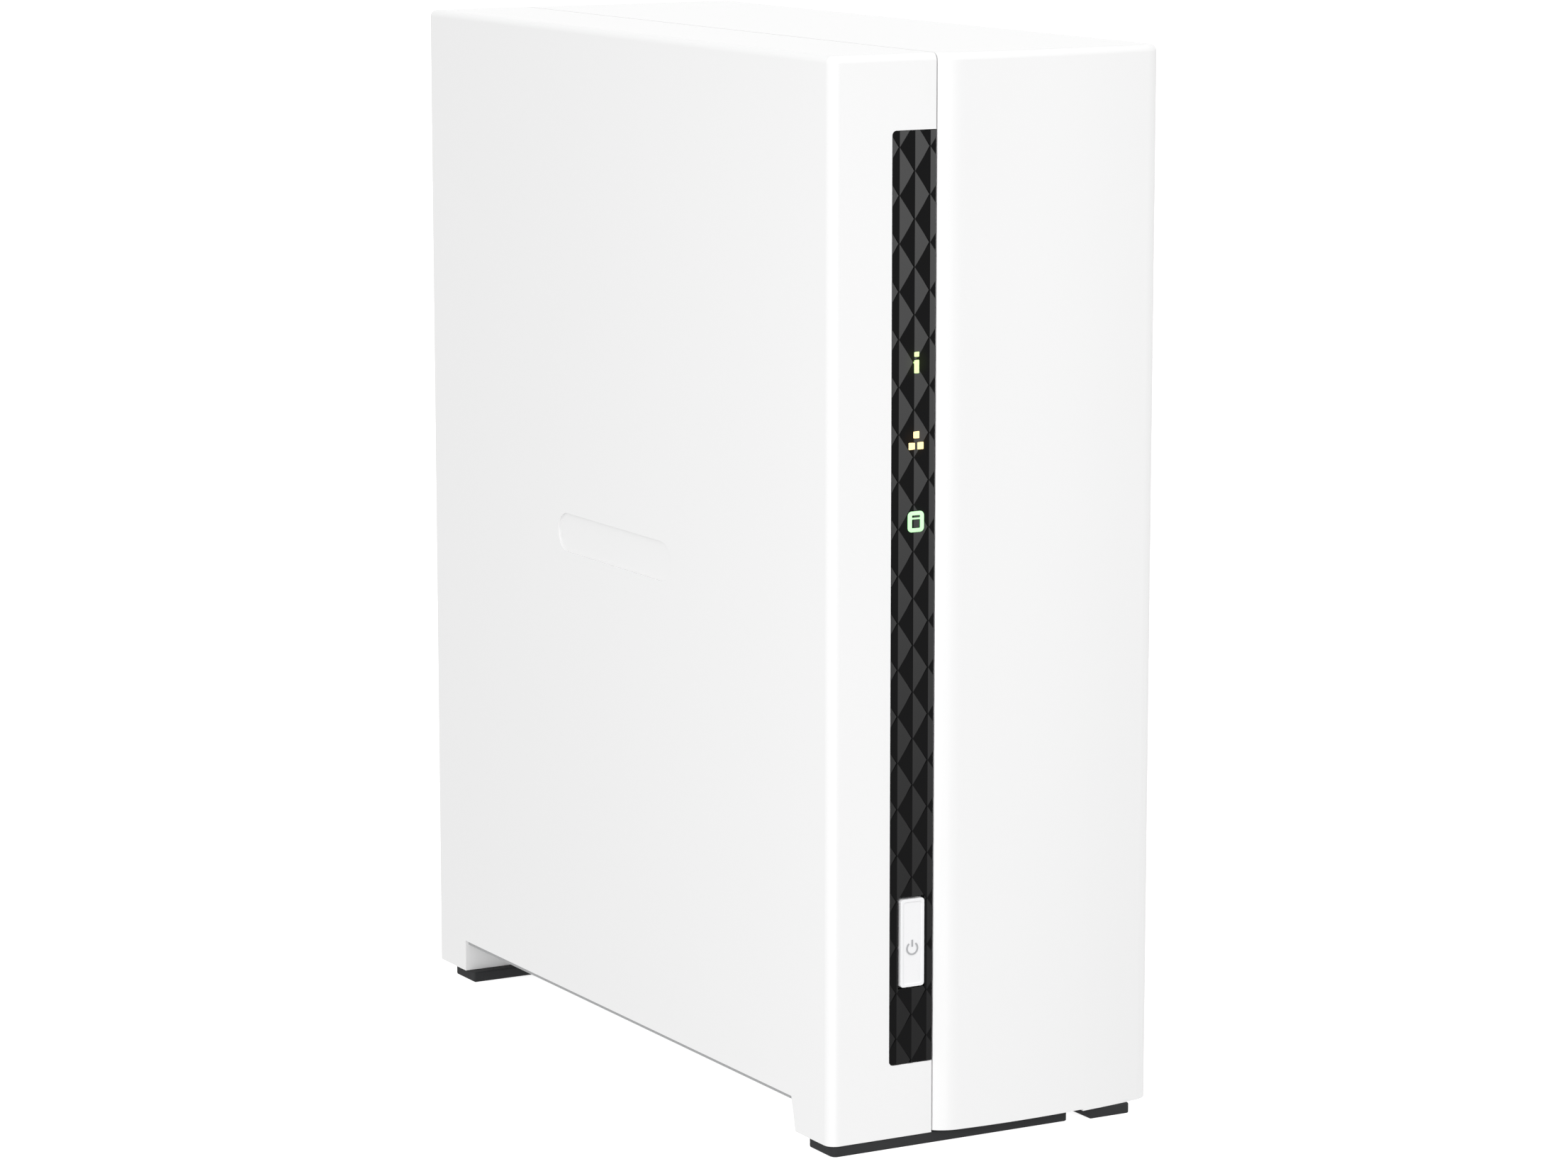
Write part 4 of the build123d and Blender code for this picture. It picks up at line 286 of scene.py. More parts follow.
def add_disc(shape: bmesh.types.BMesh, centre: Sequence[float], radius: float, depth: float, axis: Axis,
             sides: int = 48, top: Optional[float] = None) -> list[bmesh.types.BMVert]:
    """Add a closed cylinder or cone.

    Args:
        shape: the bmesh to add to.
        centre: the middle of the cylinder, in millimetres.
        radius: its radius.
        depth: its length along the axis.
        axis: the axis it lies along.
        sides: faces around it.
        top: radius of its far end, where that differs.

    Returns:
        Its vertices.
    """
    place = Matrix.Translation(Vector(centre)) @ axis.turn()
    return bmesh.ops.create_cone(shape, cap_ends=True, segments=sides, radius1=radius,
                                 radius2=radius if top is None else top, depth=depth, matrix=place)["verts"]


def prism(shape: bmesh.types.BMesh, outline: Sequence[tuple[float, float]],
          place: Callable[[float, float, float], tuple[float, float, float]],
          near: float, far: float) -> None:
    """Add a closed prism over a flat outline.

    Args:
        shape: the bmesh to add to.
        outline: the outline's points, in order.
        place: turns a point of the outline and a depth into X, Y and Z.
        near: depth of the first end.
        far: depth of the other end.
    """
    front = [shape.verts.new(place(u, v, near)) for u, v in outline]
    back = [shape.verts.new(place(u, v, far)) for u, v in outline]
    faces = [shape.faces.new(front), shape.faces.new(list(reversed(back)))]
    for index in range(len(outline)):
        after = (index + 1) % len(outline)
        faces.append(shape.faces.new((front[after], front[index], back[index], back[after])))
    bmesh.ops.recalc_face_normals(shape, faces=faces)


def rounded_outline(wide: float, tall: float, radius: float, steps: int = 6) -> list[tuple[float, float]]:
    """Points of a rounded rectangle about the origin, a quarter circle at each corner."""
    points = []
    for corner in range(4):
        side_u = 1 if corner in (0, 3) else -1
        side_v = 1 if corner in (0, 1) else -1
        centre = (side_u * (wide / 2 - radius), side_v * (tall / 2 - radius))
        for step in range(steps + 1):
            angle = math.pi / 2 * (corner + step / steps)
            points.append((centre[0] + radius * math.cos(angle), centre[1] + radius * math.sin(angle)))
    return points


def facing_front(x: float, z: float) -> Callable[[float, float, float], tuple[float, float, float]]:
    """A placing function for outlines that face the front, centred at a width and a height."""
    return lambda u, v, depth: (x + u, depth, z + v)


def cut(piece: bpy.types.Object, tool: bpy.types.Object, operation: str = "DIFFERENCE") -> bpy.types.Object:
    """Cut one piece with another and throw the tool away.

    Args:
        piece: the piece that stays.
        tool: the closed shape that cuts it.
        operation: "DIFFERENCE" or "INTERSECT".

    Returns:
        The piece.
    """
    boolean = piece.modifiers.new("cut", "BOOLEAN")
    boolean.operation = operation
    boolean.solver = "EXACT"
    boolean.object = tool
    apply_modifiers(piece)
    bpy.data.objects.remove(tool)
    return piece


# ------------------------------------------------------------------ finishes
class Finish:
    """What all finishes share: each is built once, over object coordinates."""

    name: str

    def shade(self, tree: bpy.types.NodeTree, place: bpy.types.NodeSocket) -> bpy.types.Node:
        """Add the finish's nodes and return its shader.

        Args:
            tree: the material's node tree.
            place: the object coordinates.

        Returns:
            The shader node that the material ends in.
        """
        raise NotImplementedError

    def material(self) -> bpy.types.Material:
        """Build the material once and hand it out after that."""
        if self.name in bpy.data.materials:
            return bpy.data.materials[self.name]
        made = bpy.data.materials.new(self.name)
        made.use_nodes = True
        tree = made.node_tree
        tree.nodes.clear()
        shader = self.shade(tree, add(tree, "ShaderNodeTexCoord").outputs["Object"])
        add(tree, "ShaderNodeOutputMaterial", None, {"Surface": shader.outputs["BSDF"]})
        return made


@dataclass(frozen=True)
class Moulded(Finish):
    """A moulded plastic: its tool leaves a fine grain, its melt a faint unevenness."""

    name: str
    colour: str
    roughness: float = 0.4
    ior: float = 1.53
    grain_mm: float = 0.35
    grain: float = 0.06
    mottle: float = 0.03
    coat: float = 0.0

    def shade(self, tree: bpy.types.NodeTree, place: bpy.types.NodeSocket) -> bpy.types.Node:
        """Add the finish's nodes and return its shader."""
        cloud = add(tree, "ShaderNodeTexNoise", None,
                    {"Vector": place, "Scale": 1 / (18 * MM), "Detail": 3.0})
        shade = add(tree, "ShaderNodeMapRange", None,
                    {"Value": cloud.outputs["Fac"], "To Min": 1 - self.mottle, "To Max": 1 + self.mottle / 3})
        tint = add(tree, "ShaderNodeMix", {"data_type": "RGBA", "blend_type": "MULTIPLY"},
                   {"Factor": 1.0, "A": srgb(self.colour), "B": shade.outputs["Result"]})
        gloss = add(tree, "ShaderNodeMapRange", None,
                    {"Value": cloud.outputs["Fac"], "To Min": self.roughness * 0.88,
                     "To Max": self.roughness * 1.12})
        grain = add(tree, "ShaderNodeTexNoise", None,
                    {"Vector": place, "Scale": 1 / (self.grain_mm * MM), "Detail": 2.0})
        bump = add(tree, "ShaderNodeBump", None,
                   {"Height": grain.outputs["Fac"], "Strength": self.grain,
                    "Distance": self.grain_mm * MM * 0.3})
        return add(tree, "ShaderNodeBsdfPrincipled", None,
                   {"Base Color": tint.outputs["Result"], "IOR": self.ior,
                    "Roughness": gloss.outputs["Result"] if self.grain > SMOOTH_GRAIN else self.roughness,
                    "Coat Weight": self.coat, "Coat Roughness": 0.04, "Normal": bump.outputs["Normal"]})


@dataclass(frozen=True)
class Halo:
    """A lit spot's colour scattered a little way into the acrylic round it."""

    node: str
    colour: str
    reach_mm: float = 5.5
    strength: float = 0.16


def principled(made: bpy.types.Material) -> bpy.types.Node:
    """The shader node of a material."""
    return next(node for node in made.node_tree.nodes if node.type == "BSDF_PRINCIPLED")


def spread_halos(made: bpy.types.Material, halos: Sequence[Halo]) -> None:
    """Add soft coloured glows to a glossy material.

    Args:
        made: the material to add to.
        halos: where the glows are and what colour they have.
    """
    tree = made.node_tree
    shader = principled(made)
    place = add(tree, "ShaderNodeTexCoord").outputs["Object"]
    total: Any = (0.0, 0.0, 0.0)
    for halo in halos:
        away = add(tree, "ShaderNodeVectorMath", {"operation": "DISTANCE"},
                   {0: place, 1: tuple(middle_mm(halo.node) * MM)}).outputs["Value"]
        fade = add(tree, "ShaderNodeMapRange", {"interpolation_type": "SMOOTHERSTEP"},
                   {"Value": away, "From Min": 1.2 * MM, "From Max": halo.reach_mm * MM,
                    "To Min": halo.strength, "To Max": 0.0}).outputs[0]
        tint = add(tree, "ShaderNodeVectorMath", {"operation": "SCALE"},
                   {0: srgb(halo.colour)[:3], "Scale": fade}).outputs[0]
        total = add(tree, "ShaderNodeVectorMath", {"operation": "ADD"}, {0: total, 1: tint}).outputs[0]
    tree.links.new(total, shader.inputs["Emission Color"])
    shader.inputs["Emission Strength"].default_value = 1.0


@dataclass(frozen=True)
class Metal(Finish):
    """A metal with the fine streaks or pits of how it was made."""

    name: str
    colour: str
    roughness: float = 0.3
    streak_mm: tuple[float, float, float] = (0.4, 0.4, 0.4)
    relief: float = 0.05
    patchy: float = 0.1

    def shade(self, tree: bpy.types.NodeTree, place: bpy.types.NodeSocket) -> bpy.types.Node:
        """Add the finish's nodes and return its shader."""
        stretch = tuple(1 / (size * MM) for size in self.streak_mm)
        streaks = add(tree, "ShaderNodeTexNoise", None,
                      {"Vector": add(tree, "ShaderNodeMapping", None,
                                     {"Vector": place, "Scale": stretch}).outputs["Vector"],
                       "Scale": 1.0, "Detail": 3.0})
        patch = add(tree, "ShaderNodeTexNoise", None, {"Vector": place, "Scale": 1 / (9 * MM), "Detail": 4.0})
        gloss = add(tree, "ShaderNodeMapRange", None,
                    {"Value": patch.outputs["Fac"], "To Min": self.roughness * (1 - self.patchy),
                     "To Max": self.roughness * (1 + 2 * self.patchy)})
        shade = add(tree, "ShaderNodeMapRange", None,
                    {"Value": streaks.outputs["Fac"], "To Min": 0.9, "To Max": 1.04})
        tint = add(tree, "ShaderNodeMix", {"data_type": "RGBA", "blend_type": "MULTIPLY"},
                   {"Factor": 1.0, "A": srgb(self.colour), "B": shade.outputs["Result"]})
        bump = add(tree, "ShaderNodeBump", None,
                   {"Height": streaks.outputs["Fac"], "Strength": self.relief, "Distance": 0.05 * MM})
        return add(tree, "ShaderNodeBsdfPrincipled", None,
                   {"Base Color": tint.outputs["Result"], "Metallic": 1.0,
                    "Roughness": gloss.outputs["Result"], "Normal": bump.outputs["Normal"]})


@dataclass(frozen=True)
class Laminate(Finish):
    """Glass-epoxy board: solder mask over copper traces, with plated vias."""

    name: str
    mask: str
    trace: str
    trace_mm: float = 1.1
    via_mm: float = 3.4

    def shade(self, tree: bpy.types.NodeTree, place: bpy.types.NodeSocket) -> bpy.types.Node:
        """Add the finish's nodes and return its shader."""
        # traces: borders of square-metric cells
        cells = add(tree, "ShaderNodeTexVoronoi", {"distance": "CHEBYCHEV", "feature": "F1"},
                    {"Vector": place, "Scale": 1 / (7 * self.trace_mm * MM)})
        bands = add(tree, "ShaderNodeMath", {"operation": "FRACT"},
                    {0: add(tree, "ShaderNodeMath", {"operation": "MULTIPLY"},
                            {0: cells.outputs["Distance"], 1: 7.0}).outputs[0]})
        line = add(tree, "ShaderNodeMath", {"operation": "GREATER_THAN"}, {0: bands.outputs[0], 1: 0.62})
        vias = add(tree, "ShaderNodeTexVoronoi", None, {"Vector": place, "Scale": 1 / (self.via_mm * MM)})
        dots = add(tree, "ShaderNodeMath", {"operation": "LESS_THAN"}, {0: vias.outputs["Distance"], 1: 0.11})
        board = add(tree, "ShaderNodeMix", {"data_type": "RGBA"},
                    {"Factor": line.outputs[0], "A": srgb(self.mask), "B": srgb(self.trace)})
        face = add(tree, "ShaderNodeMix", {"data_type": "RGBA"},
                   {"Factor": dots.outputs[0], "A": board.outputs["Result"], "B": srgb("#c9c6b4")})
        bump = add(tree, "ShaderNodeBump", None,
                   {"Height": line.outputs[0], "Strength": 0.25, "Distance": 0.04 * MM})
        return add(tree, "ShaderNodeBsdfPrincipled", None,
                   {"Base Color": face.outputs["Result"], "Roughness": 0.34, "IOR": 1.5,
                    "Metallic": dots.outputs[0], "Normal": bump.outputs["Normal"]})


@dataclass(frozen=True)
class Glow(Finish):
    """A clear acrylic light guide lit from behind by its LED."""

    name: str
    colour: str
    strength: float

    def shade(self, tree: bpy.types.NodeTree, place: bpy.types.NodeSocket) -> bpy.types.Node:
        """Add the finish's nodes and return its shader."""
        haze = add(tree, "ShaderNodeTexNoise", None, {"Vector": place, "Scale": 1 / (0.8 * MM)})
        level = add(tree, "ShaderNodeMapRange", None,
                    {"Value": haze.outputs["Fac"], "To Min": self.strength * 0.93,
                     "To Max": self.strength * 1.07})
        return add(tree, "ShaderNodeBsdfPrincipled", None,
                   {"Base Color": srgb(self.colour), "Roughness": 0.25, "IOR": 1.49,
                    "Emission Color": srgb(self.colour), "Emission Strength": level.outputs["Result"]})


# Painted shade: the belly's lip and underside are painted a mid grey, with a coarser grain, so a thin shadow
# band shows under the side wall.
BELLY_PAINTED_SHADE = Moulded("painted belly shade grey", "#a4a5a6", roughness=0.55, grain_mm=0.45, grain=0.2, mottle=0.02)
# White ABS from a polished tool: bright, soft reflections.
CASING = Moulded("white moulded ABS", "#eaeaea", roughness=0.26, grain_mm=0.8, grain=0.02, mottle=0.004)
# The same ABS from a spark-eroded tool: no clear reflections.
REAR_ABS = Moulded("white textured ABS", "#eceef0", roughness=0.52, grain_mm=0.45, grain=0.22, mottle=0.015)
# Black acrylic-like trim with a polished face: mirror-like facets.
PIANO = Moulded("piano black acrylic", "#060607", roughness=0.07, ior=1.5, grain=0.0, mottle=0.0, coat=0.35)
# A print on the button, just darker than its ABS, so the sign can be read.
PAD_PRINT = Moulded("pale grey pad print", "#a9aaac", roughness=0.4, grain_mm=0.4, grain=0.03, mottle=0.02)
# A shade cooler and glossier than the casing, so the button stands out from the dark trim.
BUTTON_ABS = Moulded("white polished ABS", "#ebebec", roughness=0.22, grain_mm=0.5, grain=0.02, mottle=0.01)
# Matt and grainy: the feet and the drive's grommets take no highlight.
RUBBER = Moulded("dark grey rubber", "#1f2022", roughness=0.78, ior=1.52, grain_mm=0.5, grain=0.35,
                 mottle=0.12)
# Connector and housing plastics: half matt, with a soft sheen on their edges.
BLACK_NYLON = Moulded("black moulded nylon", "#151617", roughness=0.46, grain_mm=0.4, grain=0.15, mottle=0.06)
BLACK_PBT = Moulded("black moulded PBT", "#1a1b1d", roughness=0.38, grain_mm=0.4, grain=0.10, mottle=0.05)
WHITE_NYLON = Moulded("natural moulded nylon", "#e6e0cf", roughness=0.42, grain_mm=0.4, grain=0.08)
# Fine and dull, as moulding compound and pressed powder are.
CHIP_EPOXY = Moulded("black chip epoxy", "#1d1e20", roughness=0.5, grain_mm=0.18, grain=0.2, mottle=0.05)
FERRITE = Moulded("sintered ferrite", "#34353a", roughness=0.6, grain_mm=0.25, grain=0.3, mottle=0.1)
# The blue tongue tells the faster socket from the black ones.
BLUE_PBT = Moulded("blue moulded PBT", "#1d55c4", roughness=0.4, grain_mm=0.4, grain=0.08)
# Leads: a dull sleeve for the fan, a smooth glossy ribbon for the front board.
SLEEVE = Moulded("black PVC sleeving", "#1c1c1e", roughness=0.5, grain_mm=0.6, grain=0.2)
FLAT_CABLE = Moulded("white polyester ribbon", "#e4e6ea", roughness=0.3, grain_mm=1.0, grain=0.05)
# Small dull tan bodies between bright caps.
CERAMIC = Moulded("tan ceramic", "#9a7a55", roughness=0.45, grain_mm=0.1, grain=0.1)
# Paper: soft and fibrous against the metal lid.
LABEL = Moulded("blank white paper label", "#eceae4", roughness=0.6, grain_mm=0.3, grain=0.12, mottle=0.03)
# Zinc-plated sheet: satin, with faint rolling streaks along the length.
ZINC = Metal("zinc-plated steel", "#b9bdc1", 0.32, (0.5, 0.5, 9.0), 0.08)
# Warmer and brighter than zinc, drawn lengthwise: socket shells and thumbscrews.
NICKEL = Metal("nickel-plated steel", "#c9c6bf", 0.2, (0.4, 3.0, 0.4), 0.05)
# Rough and blotchy, with no direction.
CAST = Metal("cast aluminium", "#a6a9ad", 0.48, (0.6, 0.6, 0.6), 0.35, 0.2)
# Fine lines along the extrusion, and a pale satin sheen.
EXTRUDED = Metal("clear-anodised aluminium", "#b4b8bd", 0.34, (0.3, 0.3, 7.0), 0.1)
# Long brush lines that draw the highlight out across the lid.
LID_STEEL = Metal("brushed stainless steel", "#c3c4c5", 0.28, (0.4, 11.0, 0.25), 0.12)
# Small bright parts: even and clean, without a direction.
CAN = Metal("plain aluminium can", "#c0c3c8", 0.24, (0.5, 0.5, 0.5), 0.05)
TIN = Metal("bright tin", "#d3d3cf", 0.25, (0.3, 0.3, 0.3), 0.05)
GOLD = Metal("gold-flashed contacts", "#d9b45c", 0.22, (0.2, 0.2, 0.2), 0.03)
# Wound wire and pressed bronze: warm, broken up and half matt.
COPPER = Metal("enamelled copper wire", "#a8582c", 0.3, (0.5, 0.3, 0.5), 0.4)
BRONZE = Metal("sintered bronze", "#94713e", 0.5, (0.3, 0.3, 0.3), 0.3)
# Green mask over paler tracks, with bright pads.
BOARD = Laminate("green glass-epoxy board", "#0b4a2c", "#12653c")
# The guides: pale where the light comes out, deeper coloured round the edge.
STATUS_GLOW = Glow("lit acrylic yellow-green", "#cdeea0", 0.62)
NETWORK_GLOW = Glow("lit acrylic amber", "#ffe2a0", 0.68)
DISK_GLOW = Glow("lit acrylic green", "#b2eeae", 0.58)
STATUS_EDGE = Glow("edge glow yellow-green", "#7fae3a", 0.6)
NETWORK_EDGE = Glow("edge glow amber", "#c98a2a", 0.6)
DISK_EDGE = Glow("edge glow green", "#3fae55", 0.6)
# The guides leak a little light into the dark acrylic, so each icon sits in a faint painted glow of its
# colour.
HALOS = (Halo("status_light_guide", "#8fae2a"), Halo("network_light_guide", "#b8862a"),
         Halo("disk_light_guide", "#2f9a45"))


# ------------------------------------------------------------------ geometry recipes
class Recipe:
    """A Geometry Nodes tree with named inputs, which ends in Realize Instances and Set Material."""

    def __init__(self, name: str, inputs: dict[str, tuple[str, Any]]) -> None:
        """Start a tree.

        Args:
            name: the tree's name.
            inputs: each input's name, socket type and default.
        """
        self.tree = bpy.data.node_groups.new(name, "GeometryNodeTree")
        face = self.tree.interface
        face.new_socket("Geometry", in_out="INPUT", socket_type="NodeSocketGeometry")
        face.new_socket("Geometry", in_out="OUTPUT", socket_type="NodeSocketGeometry")
        self.sockets = {}
        for label, (kind, default) in inputs.items():
            item = face.new_socket(label, in_out="INPUT", socket_type=kind)
            if default is not None:
                item.default_value = default
            self.sockets[label] = item.identifier
        finish = face.new_socket("Finish", in_out="INPUT", socket_type="NodeSocketMaterial")
        self.sockets["Finish"] = finish.identifier
        self.entry = add(self.tree, "NodeGroupInput")

    def value(self, label: str) -> bpy.types.NodeSocket:
        """The socket that brings a named input into the tree."""
        return self.entry.outputs[label]

    def close(self, geometry: bpy.types.NodeSocket) -> "Recipe":
        """End the tree with its two closing nodes."""
        real = add(self.tree, "GeometryNodeRealizeInstances", None, {"Geometry": geometry})
        painted = add(self.tree, "GeometryNodeSetMaterial", None,
                      {"Geometry": real.outputs["Geometry"], "Material": self.value("Finish")})
        add(self.tree, "NodeGroupOutput", None, {"Geometry": painted.outputs["Geometry"]})
        return self

    def make(self, name: str, finish: Finish, points: Iterable[Sequence[float]] = ((0, 0, 0),),
             base: Optional[bpy.types.Mesh] = None, **values: Any) -> bpy.types.Object:
        """Run the tree and keep its result as a plain mesh.

        Args:
            name: the new piece's name.
            finish: its finish.
            points: places in millimetres, which become the mesh that the tree starts from.
            base: a mesh in metres to start from instead.
            values: named inputs, with spaces written as underscores.

        Returns:
            The new piece.
        """
        if base is None:
            base = bpy.data.meshes.new(name + "_seed")
            base.from_pydata([Vector(point) * MM for point in points], [], [])
        holder = new_object(name + "_seed", base)
        modifier = holder.modifiers.new("recipe", "NODES")
        modifier.node_group = self.tree
        for label, value in values.items():
            modifier[self.sockets[label.replace("_", " ")]] = value
        modifier[self.sockets["Finish"]] = finish.material()
        holder.update_tag()
        graph = bpy.context.evaluated_depsgraph_get()
        mesh = bpy.data.meshes.new_from_object(holder.evaluated_get(graph), depsgraph=graph)
        mesh.name = name
        bpy.data.objects.remove(holder)
        return new_object(name, mesh)


def bars_recipe() -> Recipe:
    """A small box at each point: contacts, legs, fins and pads."""
    made = Recipe("bars at points", {"Size": ("NodeSocketVector", (MM, MM, MM))})
    bar = add(made.tree, "GeometryNodeMeshCube", None, {"Size": made.value("Size")})
    spots = add(made.tree, "GeometryNodeInstanceOnPoints", None,
                {"Points": made.value("Geometry"), "Instance": bar.outputs["Mesh"]})
    return made.close(spots.outputs["Instances"])


def screws_recipe() -> Recipe:
    """A cross-recessed pan-head screw at each point, which looks along +Z before it is turned."""
    made = Recipe("cross-recessed screws", {
        "Head Radius": ("NodeSocketFloat", 2.4 * MM), "Head Height": ("NodeSocketFloat", 1.4 * MM),
        "Shank Radius": ("NodeSocketFloat", 1.25 * MM), "Shank Length": ("NodeSocketFloat", 5 * MM),
        "Turn": ("NodeSocketRotation", None)})
    tree = made.tree

    def times(socket: bpy.types.NodeSocket, factor: float) -> bpy.types.NodeSocket:
        """A socket's value times a factor."""
        return add(tree, "ShaderNodeMath", {"operation": "MULTIPLY"}, {0: socket, 1: factor}).outputs[0]

    radius, height = made.value("Head Radius"), made.value("Head Height")
    dome = add(tree, "GeometryNodeMeshCone", None,
               {"Vertices": 40, "Radius Bottom": radius, "Radius Top": times(radius, 0.72),
                "Depth": times(height, 0.3)})
    low = add(tree, "GeometryNodeMeshCylinder", None,
              {"Vertices": 40, "Radius": radius, "Depth": times(height, 0.7)})
    low_up = add(tree, "ShaderNodeCombineXYZ", None, {"Z": times(height, 0.35)})
    dome_up = add(tree, "ShaderNodeCombineXYZ", None, {"Z": times(height, 0.7)})
    lifted = add(tree, "GeometryNodeTransform", None,
                 {"Geometry": low.outputs["Mesh"], "Translation": low_up.outputs[0]})
    capped = add(tree, "GeometryNodeTransform", None,
                 {"Geometry": dome.outputs["Mesh"], "Translation": dome_up.outputs[0]})
    whole = add(tree, "GeometryNodeMeshBoolean", {"operation": "UNION", "solver": "EXACT"})
    tree.links.new(capped.outputs[0], whole.inputs["Mesh 2"])
    tree.links.new(lifted.outputs[0], whole.inputs["Mesh 2"])
    arms = []
    for long, short in ((1.25, 0.3), (0.3, 1.25)):
        size = add(tree, "ShaderNodeCombineXYZ", None,
                   {"X": times(radius, long), "Y": times(radius, short), "Z": times(height, 1.2)})
        bar = add(tree, "GeometryNodeMeshCube", None, {"Size": size.outputs[0]})
        rise = add(tree, "ShaderNodeCombineXYZ", None, {"Z": times(height, 1.0)})
        arms.append(add(tree, "GeometryNodeTransform", None,
                        {"Geometry": bar.outputs["Mesh"], "Translation": rise.outputs[0]}))
    recess = add(tree, "GeometryNodeMeshBoolean", {"operation": "DIFFERENCE", "solver": "EXACT"},
                 {"Mesh 1": whole.outputs["Mesh"]})
    for arm in arms:
        tree.links.new(arm.outputs[0], recess.inputs["Mesh 2"])
    shank = add(tree, "GeometryNodeMeshCylinder", None,
                {"Vertices": 24, "Radius": made.value("Shank Radius"), "Depth": made.value("Shank Length")})
    drop = add(tree, "ShaderNodeCombineXYZ", None, {"Z": times(made.value("Shank Length"), -0.5)})
    sunk = add(tree, "GeometryNodeTransform", None,
               {"Geometry": shank.outputs["Mesh"], "Translation": drop.outputs[0]})
    screw = add(tree, "GeometryNodeJoinGeometry")
    tree.links.new(recess.outputs["Mesh"], screw.inputs[0])
    tree.links.new(sunk.outputs[0], screw.inputs[0])
    spots = add(tree, "GeometryNodeInstanceOnPoints", None,
                {"Points": made.value("Geometry"), "Instance": screw.outputs[0],
                 "Rotation": made.value("Turn")})
    return made.close(spots.outputs["Instances"])


def facets_recipe() -> Recipe:
    """A folded lozenge at each point: a four-sided post whose top is creased along its upright diagonal."""
    made = Recipe("folded lozenges", {
        "Half Width": ("NodeSocketFloat", 3.0 * MM), "Half Height": ("NodeSocketFloat", 4.0 * MM),
        "Post": ("NodeSocketFloat", 0.4 * MM), "Ridge": ("NodeSocketFloat", 0.4 * MM)})
    tree = made.tree
    post = add(tree, "GeometryNodeMeshCylinder", None,
               {"Vertices": 4, "Radius": 1.0, "Depth": made.value("Post")})
    widths = add(tree, "ShaderNodeCombineXYZ", None,
                 {"X": made.value("Half Width"), "Y": made.value("Half Height"), "Z": 1.0})
    shaped = add(tree, "GeometryNodeTransform", None,
                 {"Geometry": post.outputs["Mesh"], "Scale": widths.outputs[0]})
    creased = add(tree, "GeometryNodeTriangulate", {"quad_method": "LONGEST_DIAGONAL"},
                  {"Mesh": shaped.outputs[0], "Selection": post.outputs["Top"]})
    at = add(tree, "ShaderNodeSeparateXYZ", None, {0: add(tree, "GeometryNodeInputPosition").outputs[0]})
    upper = add(tree, "FunctionNodeCompare", {"operation": "GREATER_THAN"}, {0: at.outputs["Z"], 1: 0.0})
    side = add(tree, "ShaderNodeMath", {"operation": "ABSOLUTE"}, {0: at.outputs["X"]})
    middle = add(tree, "FunctionNodeCompare", {"operation": "LESS_THAN"}, {0: side.outputs[0], 1: 0.1 * MM})
    ridge = add(tree, "FunctionNodeBooleanMath", {"operation": "AND"},
                {0: upper.outputs[0], 1: middle.outputs[0]})
    rise = add(tree, "ShaderNodeCombineXYZ", None, {"Z": made.value("Ridge")})
    folded = add(tree, "GeometryNodeSetPosition", None,
                 {"Geometry": creased.outputs[0], "Selection": ridge.outputs[0], "Offset": rise.outputs[0]})
    spots = add(tree, "GeometryNodeInstanceOnPoints", None,
                {"Points": made.value("Geometry"), "Instance": folded.outputs[0]})
    return made.close(spots.outputs["Instances"])


def scatter_recipe() -> Recipe:
    """Small chip parts strewn over a board, square to it, with a fixed seed."""
    made = Recipe("strewn chip parts", {
        "Size": ("NodeSocketVector", (MM, MM, MM)), "Spacing": ("NodeSocketFloat", 3 * MM),
        "Density": ("NodeSocketFloat", 40000.0), "Seed": ("NodeSocketInt", 3)})
    tree = made.tree
    spots = add(tree, "GeometryNodeDistributePointsOnFaces", {"distribute_method": "POISSON"},
                {"Mesh": made.value("Geometry"), "Distance Min": made.value("Spacing"),
                 "Density Max": made.value("Density"), "Seed": made.value("Seed")})
    quarter = add(tree, "FunctionNodeRandomValue", {"data_type": "INT"},
                  {"Min": 0, "Max": 1, "Seed": made.value("Seed")})
    picked = [out for out in quarter.outputs if out.enabled][0]
    angle = add(tree, "ShaderNodeMath", {"operation": "MULTIPLY"}, {0: picked, 1: math.pi / 2})
    euler = add(tree, "ShaderNodeCombineXYZ", None, {"X": angle.outputs[0]})
    turn = add(tree, "FunctionNodeEulerToRotation", None, {0: euler.outputs[0]})
    bar = add(tree, "GeometryNodeMeshCube", None, {"Size": made.value("Size")})
    parts = add(tree, "GeometryNodeInstanceOnPoints", None,
                {"Points": spots.outputs["Points"], "Instance": bar.outputs["Mesh"],
                 "Rotation": turn.outputs[0]})
    return made.close(parts.outputs["Instances"])


